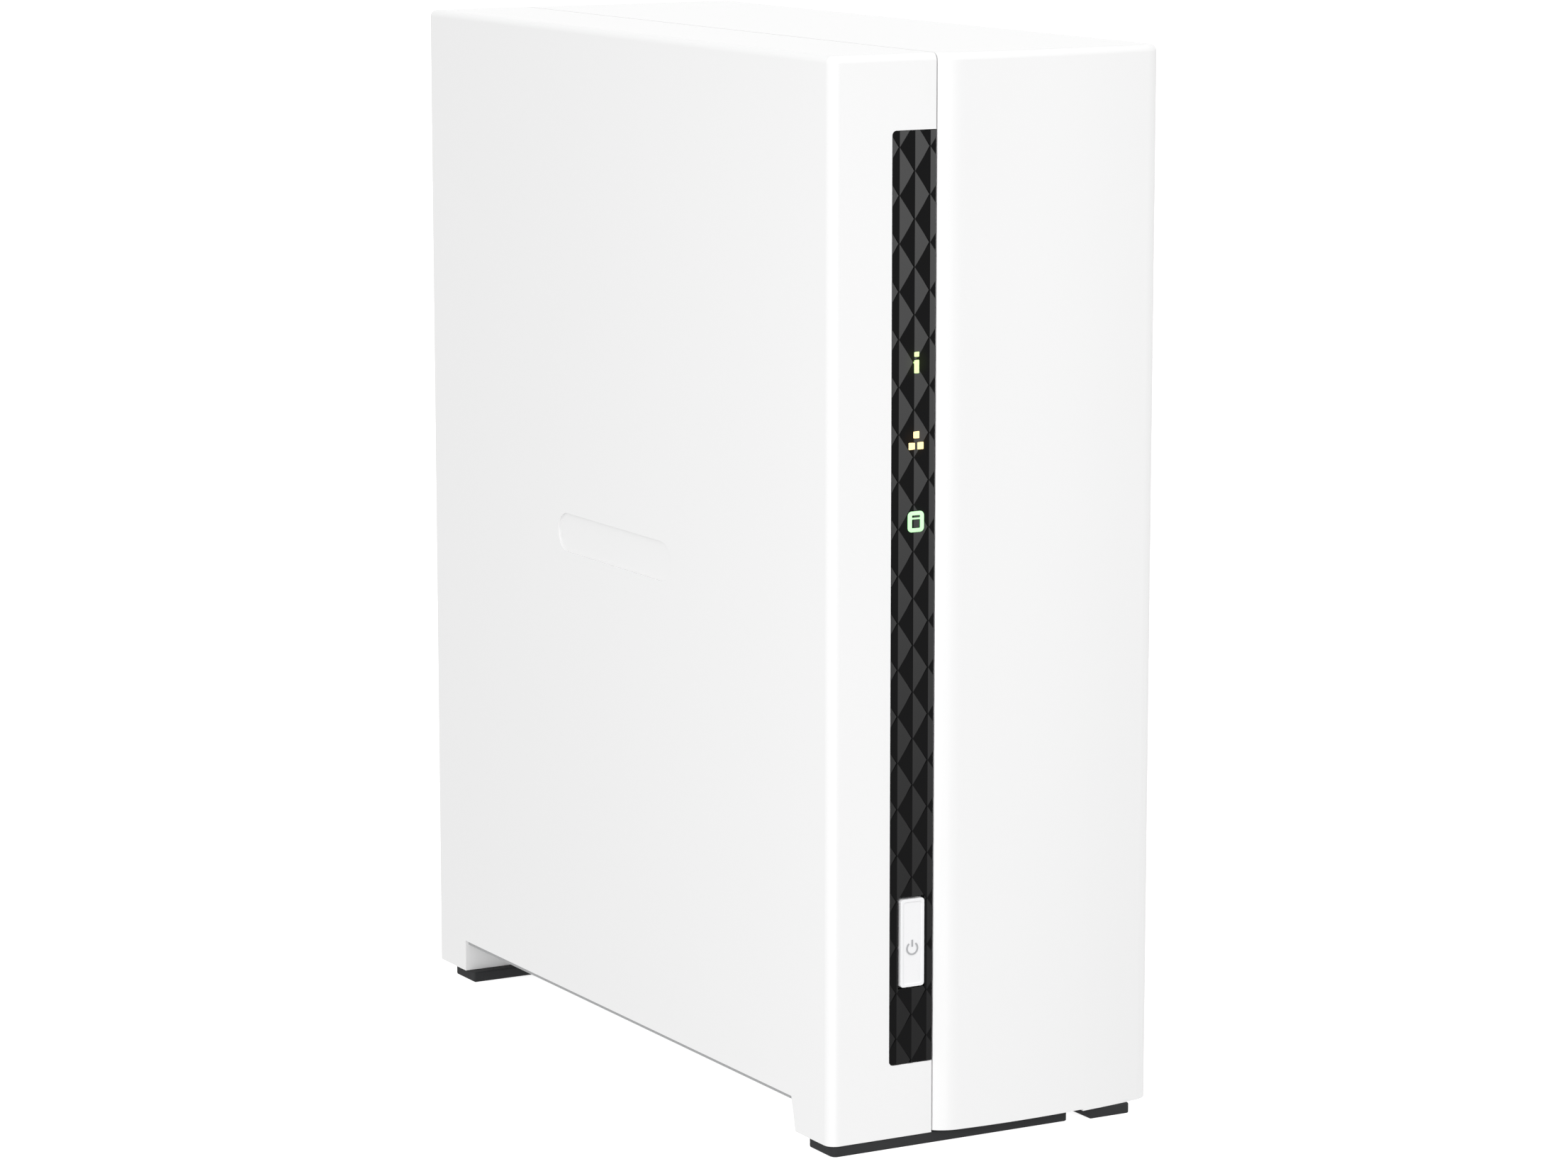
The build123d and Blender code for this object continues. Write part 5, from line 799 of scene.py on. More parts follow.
def blades_recipe() -> Recipe:
    """Fan blades: a grid whose pitch eases off towards the tip, thickened and set round the hub."""
    made = Recipe("fan blades", {
        "Blades": ("NodeSocketInt", 7), "Root": ("NodeSocketFloat", 13 * MM),
        "Tip": ("NodeSocketFloat", 27 * MM), "Chord": ("NodeSocketFloat", 12 * MM),
        "Root Pitch": ("NodeSocketFloat", 0.9),
        "Tip Pitch": ("NodeSocketFloat", 0.5), "Camber": ("NodeSocketFloat", 1.4 * MM),
        "Thickness": ("NodeSocketFloat", 1.0 * MM)})
    tree = made.tree

    def calc(operation: str, *terms: Any) -> bpy.types.NodeSocket:
        """The result of one arithmetic step."""
        return add(tree, "ShaderNodeMath", {"operation": operation}, dict(enumerate(terms))).outputs[0]

    grid = add(tree, "GeometryNodeMeshGrid", None,
               {"Size X": 1.0, "Size Y": 1.0, "Vertices X": 13, "Vertices Y": 11})
    at = add(tree, "ShaderNodeSeparateXYZ", None, {0: add(tree, "GeometryNodeInputPosition").outputs[0]})
    along = calc("ADD", at.outputs["X"], 0.5)
    across = at.outputs["Y"]
    radius = calc("ADD", made.value("Root"),
                  calc("MULTIPLY", along, calc("SUBTRACT", made.value("Tip"), made.value("Root"))))
    pitch = calc("ADD", made.value("Root Pitch"),
                 calc("MULTIPLY", along, calc("SUBTRACT", made.value("Tip Pitch"), made.value("Root Pitch"))))
    widen = calc("ADD", 0.78, calc("MULTIPLY", along, 0.3))
    chord = calc("MULTIPLY", calc("MULTIPLY", across, made.value("Chord")), widen)
    arch = calc("MULTIPLY", made.value("Camber"),
                calc("SUBTRACT", 1.0, calc("MULTIPLY", 4.0, calc("MULTIPLY", across, across))))
    around = calc("SUBTRACT", calc("MULTIPLY", chord, calc("COSINE", pitch)),
                  calc("MULTIPLY", arch, calc("SINE", pitch)))
    axial = calc("ADD", calc("MULTIPLY", chord, calc("SINE", pitch)),
                 calc("MULTIPLY", arch, calc("COSINE", pitch)))
    turn = calc("DIVIDE", around, radius)
    place = add(tree, "ShaderNodeCombineXYZ", None,
                {"X": calc("MULTIPLY", radius, calc("COSINE", turn)),
                 "Y": calc("MULTIPLY", radius, calc("SINE", turn)), "Z": axial})
    sheet = add(tree, "GeometryNodeSetPosition", None,
                {"Geometry": grid.outputs["Mesh"], "Position": place.outputs[0]})
    thick = add(tree, "GeometryNodeExtrudeMesh", {"mode": "FACES"},
                {"Mesh": sheet.outputs[0], "Offset Scale": made.value("Thickness"), "Individual": False})
    under = add(tree, "GeometryNodeFlipFaces", None, {"Mesh": sheet.outputs[0]})
    closed = add(tree, "GeometryNodeJoinGeometry")
    tree.links.new(thick.outputs["Mesh"], closed.inputs[0])
    tree.links.new(under.outputs[0], closed.inputs[0])
    blade = add(tree, "GeometryNodeMergeByDistance", None,
                {"Geometry": closed.outputs[0], "Distance": 0.005 * MM})
    spots = add(tree, "GeometryNodeMeshLine", None,
                {"Count": made.value("Blades"), "Offset": (0.0, 0.0, 0.0)})
    index = add(tree, "GeometryNodeInputIndex").outputs[0]
    step = calc("DIVIDE", 2 * math.pi, made.value("Blades"))
    euler = add(tree, "ShaderNodeCombineXYZ", None, {"Z": calc("MULTIPLY", index, step)})
    spin = add(tree, "FunctionNodeEulerToRotation", None, {0: euler.outputs[0]})
    ring = add(tree, "GeometryNodeInstanceOnPoints", None,
               {"Points": spots.outputs["Mesh"], "Instance": blade.outputs[0], "Rotation": spin.outputs[0]})
    return made.close(ring.outputs["Instances"])


BARS = bars_recipe()
SCREWS = screws_recipe()
FACETS = facets_recipe()
SCATTER = scatter_recipe()
BLADES = blades_recipe()


def row(start: Sequence[float], step: Sequence[float], count: int) -> list[Vector]:
    """Evenly spaced points, from a first one, in millimetres."""
    return [Vector(start) + Vector(step) * index for index in range(count)]


# ------------------------------------------------------------------ sub-assemblies
@dataclass
class Casing:
    """The left shell, the sliding cover and the feet."""

    edge_mm: float = 0.22
    foot_edge_mm: float = 0.3
    belly_z: tuple[float, float] = (7.1, 7.98)
    belly_y: tuple[float, float] = (-58.0, 62.0)

    def in_belly_painted_shade(self, middle: Vector) -> bool:
        """Whether a face's middle lies on the belly's lip or underside, between the legs, where shade is
        painted grey.
        """
        return (self.belly_z[0] < middle.z < self.belly_z[1]
                and self.belly_y[0] < middle.y < self.belly_y[1])

    def build(self) -> None:
        """Make and dress the outer pieces."""
        for node in ("left_shell", "right_cover"):
            body = refine(node, None, self.edge_mm, SHARP_DEG)
            # faces on the belly's lip and underside get the painted shade grey in place of the casing white
            paint(body, [CASING, BELLY_PAINTED_SHADE], lambda middle: int(self.in_belly_painted_shade(middle)))
        for node in ("shell_feet", "cover_feet"):
            refine(node, RUBBER, self.foot_edge_mm)


@dataclass
class FrontTrim:
    """The dark faceted trim, the power button and the three lit icons."""

    half_width: float = 3.0
    half_height: float = 4.04
    groove: float = 0.02
    ridge: float = 0.2
    post: float = 0.5
    column_x: float = -16.85
    middle_z: float = 164.95
    corner: float = 0.8
    window_gap: float = 0.3
    icon_edge: float = 0.12
    lit_depth: float = 0.1
    flange: float = 0.7
    flange_y: tuple[float, float] = (-73.95, -73.15)
    key_back: float = -73.9
    key_corner: float = 0.6
    rim: float = 0.55
    dish_depth: float = 0.16
    stem_radius: float = 1.4
    stem_front: float = -73.2
    sign_radius: float = 1.05
    sign_stroke: float = 0.14
    sign_drop: float = 1.0
    sign_gap_deg: float = 38.0
    sign_steps: int = 26
    sign_y: tuple[float, float] = (0.06, 0.3)
    print_reach: float = 0.4
    disk_pockets: tuple[tuple[float, float], ...] = ((-1.1, 0.42), (0.7, 1.12))
    pocket_width: float = 1.6

    def lattice(self, low: Vector, high: Vector) -> list[tuple[float, float]]:
        """Middles of the lozenges that reach into the trim: every other one of a plain grid."""
        columns = range(-3, 4)
        rows = range(-int((self.middle_z - low.z) / self.half_height) - 2,
                     int((high.z - self.middle_z) / self.half_height) + 3)
        spots = [(self.column_x + column * self.half_width, self.middle_z + step * self.half_height)
                 for column in columns for step in rows if (column + step) % 2 == 0]
        return [(x, z) for x, z in spots if low.x - self.half_width < x < high.x + self.half_width]

    def shapes(self, low: Vector, high: Vector) -> list[bpy.types.Object]:
        """The folded lozenges and the plate that carries them, both uncut."""
        valley = low.y + 0.02 + self.ridge
        # made looking along +Z with Y up, then turned to look along -Y
        turn = Matrix.Rotation(math.pi / 2, 4, "X")
        points = [(x, z, 0) for x, z in self.lattice(low, high)]
        lozenges = FACETS.make("trim_lozenges", PIANO, points,
                               Half_Width=(self.half_width - self.groove) * MM,
                               Half_Height=(self.half_height - self.groove) * MM,
                               Post=self.post * MM, Ridge=self.ridge * MM)
        place = Matrix.Translation((0, (valley + self.post / 2) * MM, 0))
        lozenges.data.transform(place @ turn)
        shape = bmesh.new()
        add_box(shape, (low.x - 5, valley + self.post / 2, low.z - 5), (high.x + 5, high.y, high.z + 5))
        return [lozenges, from_bmesh("trim_plate", shape)]

    def plate(self) -> bpy.types.Object:
        """The trim, cut to its outline and to the button's window."""
        low, high = box_mm("faceted_trim")
        button_low, button_high = self.button_face()
        pieces = self.shapes(low, high)
        for piece in pieces:
            outline = bmesh.new()
            wide, tall = high.x - low.x, high.z - low.z
            points = rounded_outline(wide + 2 * self.corner, tall, self.corner)
            points = [(min(u, wide / 2 - self.corner), v) for u, v in points]
            points = [point for index, point in enumerate(points) if point != points[index - 1]]
            points = [point for index, point in enumerate(points)
                      if not (point[0] == points[index - 1][0] == points[(index + 1) % len(points)][0])]
            prism(outline, points, facing_front((low.x + high.x) / 2 + self.corner, (low.z + high.z) / 2),
                  low.y - 1, high.y + 0.5)
            cut(piece, from_bmesh("trim_outline", outline), "INTERSECT")
            window = bmesh.new()
            add_box(window, (button_low.x - self.window_gap, low.y - 2, button_low.z - self.window_gap),
                    (button_high.x + self.window_gap, high.y + 2, button_high.z + self.window_gap))
            cut(piece, from_bmesh("trim_window", window))
        shape = bmesh.new()
        for piece in pieces:
            shape.from_mesh(piece.data)
            bpy.data.objects.remove(piece)
        bmesh.ops.scale(shape, vec=(1 / MM,) * 3, verts=shape.verts)
        return from_bmesh("faceted_trim_plate", shape)

    def button_face(self) -> tuple[Vector, Vector]:
        """Corners of the button's visible face, inside its flange."""
        low, high = box_mm("power_button")
        inset = Vector((self.flange, 0, self.flange))
        return low + inset, high - inset

    def button(self) -> bpy.types.Object:
        """The power button: a soft-edged key with a raised rim and a raised power sign."""
        low, high = self.button_face()
        whole_low, whole_high = box_mm("power_button")
        centre = (low + high) / 2
        wide, tall = high.x - low.x, high.z - low.z
        shape = bmesh.new()
        prism(shape, rounded_outline(wide, tall, self.key_corner), facing_front(centre.x, centre.z),
              low.y, self.key_back)
        key = from_bmesh("power_button_key", shape)
        dish = bmesh.new()
        prism(dish, rounded_outline(wide - 2 * self.rim, tall - 2 * self.rim, 0.4),
              facing_front(centre.x, centre.z), low.y - 1, low.y + self.dish_depth)
        cut(key, from_bmesh("button_pocket", dish))
        soften(key, 0.12, SHARP_DEG, 3)
        extra = bmesh.new()
        add_box(extra, (whole_low.x, self.flange_y[0], whole_low.z),
                (whole_high.x, self.flange_y[1], whole_high.z))
        add_disc(extra, (centre.x, (whole_high.y + self.stem_front) / 2, centre.z), self.stem_radius,
                 whole_high.y - self.stem_front, Axis.Y)
        # power sign: an open ring with a bar through its gap
        sign_z = centre.z - self.sign_drop
        near, far = low.y + self.sign_y[0], low.y + self.sign_y[1]
        inner, outer = self.sign_radius - self.sign_stroke, self.sign_radius + self.sign_stroke
        gap = math.radians(self.sign_gap_deg)
        sweep = 2 * math.pi - 2 * gap
        for index in range(self.sign_steps):
            start = math.pi / 2 + gap + sweep * index / self.sign_steps
            end = math.pi / 2 + gap + sweep * (index + 1) / self.sign_steps
            corners = [(math.cos(angle) * size, math.sin(angle) * size)
                       for angle, size in ((start, inner), (start, outer), (end, outer), (end, inner))]
            prism(extra, corners, facing_front(centre.x, sign_z), near, far)
        add_box(extra, (centre.x - self.sign_stroke, near, sign_z + 0.3),
                (centre.x + self.sign_stroke, far, sign_z + 1.5))
        sign = from_bmesh("power_button_sign", extra)
        paint(sign, [BUTTON_ABS, PAD_PRINT], lambda middle: int(middle.y < low.y + self.print_reach))
        settle(sign, None, "power_button")
        return settle(key, BUTTON_ABS, "power_button", ("power_button",))

    def hollow(self, piece: bpy.types.Object) -> None:
        """Sink the disk icon's middle, so that a ring with a bar across it is left."""
        low, high = box_mm("disk_light_guide")
        centre = (low + high) / 2
        for bottom, top in self.disk_pockets:
            pocket = bmesh.new()
            prism(pocket, rounded_outline(self.pocket_width, top - bottom, 0.12, 3),
                  facing_front(centre.x, centre.z + (top + bottom) / 2), low.y - 1, low.y + 0.6)
            cut(piece, from_bmesh("icon_pocket", pocket))

    def icon(self, node: str, face: Glow, edge: Glow) -> bpy.types.Object:
        """One light guide: pale on its lit face, deeper coloured round its edge."""
        piece = solid_from(node, f"{node}_body", self.icon_edge, SHARP_DEG)
        if node == "disk_light_guide":
            self.hollow(piece)
        front = box_mm(node)[0].y
        paint(piece, [face, edge], lambda middle: int(middle.y >= front + self.lit_depth))
        return settle(piece, None, node, (node,))

    def build(self) -> None:
        """Make and dress the front's small pieces."""
        plate = self.plate()
        spread_halos(PIANO.material(), HALOS)
        settle(plate, PIANO, "faceted_trim", ("faceted_trim",))
        self.button()
        refine_all([("power_plunger", BLACK_NYLON, 0.1), ("power_switch", NICKEL, 0.12)])
        self.icon("status_light_guide", STATUS_GLOW, STATUS_EDGE)
        self.icon("network_light_guide", NETWORK_GLOW, NETWORK_EDGE)
        self.icon("disk_light_guide", DISK_GLOW, DISK_EDGE)


@dataclass
class RearSide:
    """The rear panel with its ports, shield and screws."""

    contact_pitch: float = 1.02
    usb_contact_pitch: float = 2.33
    usb_half_tongue: float = 5.35
    knurls: int = 36
    knurl_depth: float = 0.28
    thumb_height: float = 1.8
    thumb_chamfer: float = 0.3
    thumb_shank: float = 1.5
    fan_head: tuple[float, float] = (3.4, 1.5)
    panel_head: tuple[float, float] = (2.4, 1.4)

    def screws(self, node: str, points: list[Vector], axis: Axis, head: float, height: float,
               shank: float, length: float) -> bpy.types.Object:
        """Cross-recessed screws in place of a CAD node's plain ones.

        Args:
            node: the CAD node.
            points: where each head seats.
            axis: the way the heads face, along the positive axis.
            head: head radius.
            height: head height.
            shank: shank radius.
            length: shank length.

        Returns:
            The new piece.
        """
        turn = axis.turn().to_euler()
        piece = SCREWS.make(f"{node}_heads", ZINC, points, Head_Radius=head * MM,
                            Head_Height=height * MM, Shank_Radius=shank * MM, Shank_Length=length * MM,
                            Turn=(turn.x, turn.y, turn.z))
        soften(piece, 0.0, 40.0)
        return settle(piece, ZINC, node, (node,))

    def network_contacts(self) -> None:
        """Eight spring contacts inside the network jack."""
        low, high = box_mm("network_jack")
        z0 = (low.z + high.z) / 2 - 3.5 * self.contact_pitch
        spots = row((low.x + 4.0, high.y - 7.0, z0), (0, 0, self.contact_pitch), 8)
        piece = BARS.make("network_jack_contacts", GOLD, spots, Size=(0.35 * MM, 9.0 * MM, 0.4 * MM))
        settle(piece, GOLD, "network_jack")

    def usb_parts(self, node: str, count: int, first_z: float, step_z: float, tongue: Moulded) -> None:
        """Tongues and contacts for the USB sockets of a node.

        Args:
            node: the CAD node with the socket shells.
            count: sockets in it.
            first_z: height of the lowest socket.
            step_z: spacing of the sockets.
            tongue: finish of the tongues.
        """
        low, high = box_mm(node)
        shape = bmesh.new()
        spots = []
        for index in range(count):
            z = first_z + step_z * index
            add_box(shape, (low.x + 2.85, high.y - 14.0, z - self.usb_half_tongue),
                    (low.x + 4.75, high.y - 0.75, z + self.usb_half_tongue))
            spots += row((low.x + 2.82, high.y - 4.0, z - 3.5), (0, 0, self.usb_contact_pitch), 4)
        piece = soften(from_bmesh(f"{node}_tongues", shape), 0.15)
        settle(piece, tongue, node)
        contacts = BARS.make(f"{node}_contacts", GOLD, spots, Size=(0.12 * MM, 6.0 * MM, 1.0 * MM))
        settle(contacts, GOLD, node)

    def thumbscrew(self, node: str) -> None:
        """A knurled thumbscrew head over the CAD screw's shape."""
        low, high = box_mm(node)
        centre = (low + high) / 2
        radius = (high.x - low.x) / 2 - 0.12
        seat = high.y - self.thumb_height
        shape = bmesh.new()
        outline = []
        for index in range(2 * self.knurls):
            size = radius if index % 2 else radius - self.knurl_depth
            angle = math.pi * index / self.knurls
            outline.append((size * math.cos(angle), size * math.sin(angle)))
        prism(shape, outline, facing_front(centre.x, centre.z), seat, high.y - self.thumb_chamfer)
        add_disc(shape, (centre.x, high.y - self.thumb_chamfer / 2, centre.z), radius - 0.35,
                 self.thumb_chamfer, Axis.Y, 48, radius - 0.75)
        add_disc(shape, (centre.x, (low.y + seat) / 2, centre.z), self.thumb_shank, seat - low.y, Axis.Y, 32)
        piece = from_bmesh(f"{node}_knurled", shape)
        slot = bmesh.new()
        add_box(slot, (centre.x - 0.5, high.y - 0.9, centre.z - 6),
                (centre.x + 0.5, high.y + 1, centre.z + 6))
        cut(piece, from_bmesh("driver_slot", slot))
        settle(soften(piece, 0.0, SHARP_DEG), NICKEL, node, (node,))

    def build(self) -> None:
        """Make and dress the rear."""
        refine_all([("rear_panel", REAR_ABS, 0.18), ("port_shield", NICKEL, 0.0),
                    ("network_jack", NICKEL, 0.15), ("power_jack", BLACK_PBT, 0.15),
                    ("usb3_port", NICKEL, 0.0), ("usb2_ports", NICKEL, 0.0),
                    ("reset_switch", BLACK_NYLON, 0.12), ("reset_plunger", WHITE_NYLON, 0.1)])
        self.network_contacts()
        usb3 = middle_mm("usb3_port").z
        low, high = box_mm("usb2_ports")
        self.usb_parts("usb3_port", 1, usb3, 0.0, BLUE_PBT)
        self.usb_parts("usb2_ports", 2, low.z + 6.6, high.z - low.z - 13.2, BLACK_PBT)
        for node in ("cover_screw_upper", "cover_screw_lower"):
            self.thumbscrew(node)
        low, high = box_mm("fan_screws")
        head, height = self.fan_head
        corners = [Vector((x, high.y - height, z)) for x in (low.x + head, high.x - head)
                   for z in (low.z + head, high.z - head)]
        self.screws("fan_screws", corners, Axis.Y, head, height, 1.9, high.y - height - low.y)
        low, high = box_mm("panel_screws")
        head, height = self.panel_head
        ends = [Vector((low.x + head, high.y - height, high.z - head)),
                Vector((high.x - head, high.y - height, low.z + head))]
        self.screws("panel_screws", ends, Axis.Y, head, height, 1.25, high.y - height - low.y)


@dataclass
class Fan:
    """The cooling fan behind the grille."""

    blades: int = 7
    hub_radius: float = 13.5
    hub_wall: float = 1.2
    blade_root: float = 0.8
    tip_gap: float = 0.1
    chord: float = 12.0
    camber: float = 1.3
    thickness: float = 0.9
    pitch: tuple[float, float] = (0.86, 0.5)
    bore_radius: float = 1.5
    sticker_radius: float = 11.0

    def build(self) -> None:
        """Make and dress the fan."""
        refine("fan_frame", BLACK_PBT, 0.25)
        low, high = box_mm("fan_rotor")
        centre = middle_mm("fan_frame")
        back = box_mm("fan_frame")[1].y
        tip = (high.z - low.z) / 2 - self.tip_gap
        depth = high.y - low.y
        wheel = BLADES.make("fan_rotor_blades", BLACK_PBT, Blades=self.blades,
                            Root=(self.hub_radius - self.blade_root) * MM, Tip=tip * MM,
                            Chord=self.chord * MM, Root_Pitch=self.pitch[0], Tip_Pitch=self.pitch[1],
                            Camber=self.camber * MM, Thickness=self.thickness * MM)
        middle = Vector((centre.x, (low.y + high.y) / 2 + 0.4, centre.z))
        wheel.data.transform(Matrix.Translation(middle * MM) @ Axis.Y.turn())
        settle(soften(wheel, 0.0, 40.0), BLACK_PBT, "fan_rotor", ("fan_rotor",))
        shape = bmesh.new()
        add_disc(shape, (centre.x, low.y + depth / 2, centre.z), self.hub_radius, depth, Axis.Y, 72)
        hub = from_bmesh("fan_rotor_hub", shape)
        inner = bmesh.new()
        add_disc(inner, (centre.x, low.y + depth / 2 + 1.6, centre.z), self.hub_radius - self.hub_wall,
                 depth, Axis.Y, 72)
        cut(hub, from_bmesh("hub_space", inner))
        bore = bmesh.new()
        add_disc(bore, (centre.x, low.y, centre.z), self.bore_radius, 8.0, Axis.Y, 32)
        cut(hub, from_bmesh("hub_bore", bore))
        settle(soften(hub, 0.35, SHARP_DEG, 3), BLACK_PBT, "fan_rotor")
        sticker = bmesh.new()
        add_disc(sticker, (centre.x, back - 0.02, centre.z), self.sticker_radius, 0.12, Axis.Y, 64)
        settle(soften(from_bmesh("fan_sticker", sticker), 0.0), LABEL, "fan_frame")
        refine_all([("fan_shaft", ZINC, 0.15), ("fan_bush", BRONZE, 0.1), ("fan_stator", COPPER, 0.3)])
        refine("fan_cable", SLEEVE, 0.0, LEAD_DEG)


@dataclass
class Electronics:
    """The circuit boards and what is soldered to them."""

    seed: int = 11
    leg_width: float = 0.42
    sink_base: float = 2.2
    fins: int = 10
    can_spots: tuple[tuple[float, float], ...] = ((18.0, 46.0), (27.0, 46.0), (36.0, 46.0), (2.0, 96.0))

    def strewn(self) -> None:
        """Chip resistors and capacitors, body and end caps, from one seed."""
        low, high = box_mm("main_board")
        shape = bmesh.new()
        face = high.x
        areas = (((low.y + 4, low.z + 6), (50.0, 106.0)), ((low.y + 4, 106.0), (50.0, high.z - 5)))
        for (y0, z0), (y1, z1) in areas:
            shape.faces.new([shape.verts.new((face + 0.25, y, z))
                             for y, z in ((y0, z0), (y1, z0), (y1, z1), (y0, z1))])
        patch = from_bmesh("strewn_area", shape)
        for name, finish, size in (("chip_resistor_bodies", CERAMIC, (0.5, 1.3, 0.82)),
                                   ("chip_resistor_caps", TIN, (0.44, 1.7, 0.76))):
            piece = SCATTER.make(name, finish, base=patch.data.copy(), Size=tuple(v * MM for v in size),
                                 Spacing=3.4 * MM, Density=52000.0, Seed=self.seed)
            settle(piece, finish, "main_board")
        bpy.data.objects.remove(patch)

    def legs(self, node: str, sides: str, pitch: float) -> None:
        """Solder legs along a chip's sides.

        Args:
            node: the chip's CAD node.
            sides: "y" for legs on the two Y sides, "z" for the two Z sides, or both letters.
            pitch: leg spacing.
        """
        low, high = box_mm(node)
        board = box_mm("main_board")[1].x
        for side, along, across in (("y", "z", "y"), ("z", "y", "z")):
            if side not in sides:
                continue
            length = getattr(high, along) - getattr(low, along)
            count = int((length - pitch) / pitch)
            first = (getattr(high, along) + getattr(low, along) - pitch * (count - 1)) / 2
            spots = []
            for edge, out in ((getattr(low, across), -0.45), (getattr(high, across), 0.45)):
                for index in range(count):
                    spot = Vector((board + 0.22, 0, 0))
                    setattr(spot, along, first + pitch * index)
                    setattr(spot, across, edge + out)
                    spots.append(spot)
            width = pitch * self.leg_width
            size = (0.4, 1.1, width) if side == "y" else (0.4, width, 1.1)
            piece = BARS.make(f"{node}_legs_{side}", TIN, spots, Size=tuple(v * MM for v in size))
            settle(piece, TIN, node)

    def heatsink(self) -> None:
        """An extruded heatsink with thin straight fins."""
        low, high = box_mm("heatsink")
        shape = bmesh.new()
        add_box(shape, low, (low.x + self.sink_base, high.y, high.z))
        settle(soften(from_bmesh("heatsink_base", shape), 0.2), EXTRUDED, "heatsink", ("heatsink",))
        wide = high.y - low.y
        spots = row(((low.x + 2.0 + high.x) / 2, low.y + 0.6, (low.z + high.z) / 2),
                    (0, (wide - 1.2) / (self.fins - 1), 0), self.fins)
        piece = BARS.make("heatsink_fins", EXTRUDED, spots,
                          Size=((high.x - low.x - 2.0) * MM, 1.0 * MM, (high.z - low.z) * MM))
        settle(soften(piece, 0.15), EXTRUDED, "heatsink")

    def capacitor_tops(self) -> None:
        """Black seats under the capacitor cans, and painted shade lines along the scored vents on their tops.
        """
        low, high = box_mm("capacitors")
        shape = bmesh.new()
        for y, z in self.can_spots:
            add_disc(shape, (low.x + 0.5, y, z), 3.3, 1.0, Axis.X, 40)
        settle(soften(from_bmesh("capacitor_seats", shape), 0.1), BLACK_PBT, "main_board")
        # thin black bars on the bare can tops: painted shade in the scored vent grooves
        vent_shade_spots = [Vector((high.x, y, z)) for y, z in self.can_spots]
        piece = BARS.make("capacitor_vent_painted_shade", BLACK_PBT, vent_shade_spots, Size=(0.04 * MM, 4.2 * MM, 0.2 * MM))
        settle(piece, BLACK_PBT, "capacitors")

    def build(self) -> None:
        """Make and dress the electronics."""
        for node in ("main_board", "front_board", "sata_riser"):
            refine(node, BOARD, 0.0)
        for node in ("processor", "memory_chips", "flash_chip", "network_chip", "network_transformer"):
            refine(node, CHIP_EPOXY, 0.1)
        self.legs("flash_chip", "y", 1.0)
        self.legs("network_chip", "yz", 0.8)
        self.legs("network_transformer", "y", 1.27)
        self.heatsink()
        self.strewn()
        refine("inductors", FERRITE, 0.3)
        refine("capacitors", CAN, 0.4)
        self.capacitor_tops()
        refine_all([("battery_holder", BLACK_NYLON, 0.2), ("coin_cell", NICKEL, 0.15),
                    ("buzzer", BLACK_NYLON, 0.3), ("riser_header", BLACK_PBT, 0.15),
                    ("fan_header", WHITE_NYLON, 0.2), ("ribbon_sockets", WHITE_NYLON, 0.15)])
        refine("ribbon_cable", FLAT_CABLE, 0.0, LEAD_DEG)
        refine_all([("front_leds", WHITE_NYLON, 0.1), ("sata_socket", BLACK_PBT, 0.2)])
        low, high = box_mm("sata_socket")
        spots = row(((low.x + high.x) / 2 + 0.9, low.y + 4.0, high.z - 2.6), (0, 1.27, 0), 22)
        spots = [spot for index, spot in enumerate(spots) if index not in (7, 8)]
        contacts = BARS.make("sata_socket_contacts", GOLD, spots, Size=(0.1 * MM, 0.8 * MM, 4.6 * MM))
        settle(contacts, GOLD, "sata_socket")


@dataclass
class DriveBay:
    """The bay plate and the hard drive on it."""

    label_inset: float = 16.0
    label_z: tuple[float, float] = (8.0, 46.0)
    rule_length: float = 38.0
    rule_pitch: float = 5.2
    rules: int = 6

    def board_screws(self) -> None:
        """The screws and posts keep their CAD shapes, with rounded edges."""
        for node in ("board_screws", "bay_screws", "bay_posts", "drive_shoulder_screws", "drive_lid_screws"):
            refine(node, ZINC, 0.12)

    def label(self) -> None:
        """A blank paper label on the drive's lid, with plain ruled lines."""
        low, high = box_mm("drive_lid")
        shape = bmesh.new()
        y0, y1 = low.y + self.label_inset, high.y - self.label_inset
        z0, z1 = low.z + self.label_z[0], low.z + self.label_z[1]
        add_box(shape, (high.x - 0.1, y0, z0), (high.x - 0.02, y1, z1))
        settle(soften(from_bmesh("drive_label", shape), 0.0), LABEL, "drive_lid")
        spots = row((high.x - 0.03, (y0 + y1) / 2 - 8, z0 + 6), (0, 0, self.rule_pitch), self.rules)
        rules = BARS.make("drive_label_rules", BLACK_PBT, spots,
                          Size=(0.04 * MM, self.rule_length * MM, 0.5 * MM))
        settle(rules, BLACK_PBT, "drive_lid")

    def build(self) -> None:
        """Make and dress the bay and the drive."""
        refine("bay_plate", ZINC, 0.15)
        self.board_screws()
        refine_all([("drive_case", CAST, 0.35), ("drive_lid", LID_STEEL, 0.25),
                    ("drive_board", BOARD, 0.0), ("drive_connector", BLACK_PBT, 0.15),
                    ("drive_grommets", RUBBER, 0.15)])
        self.label()


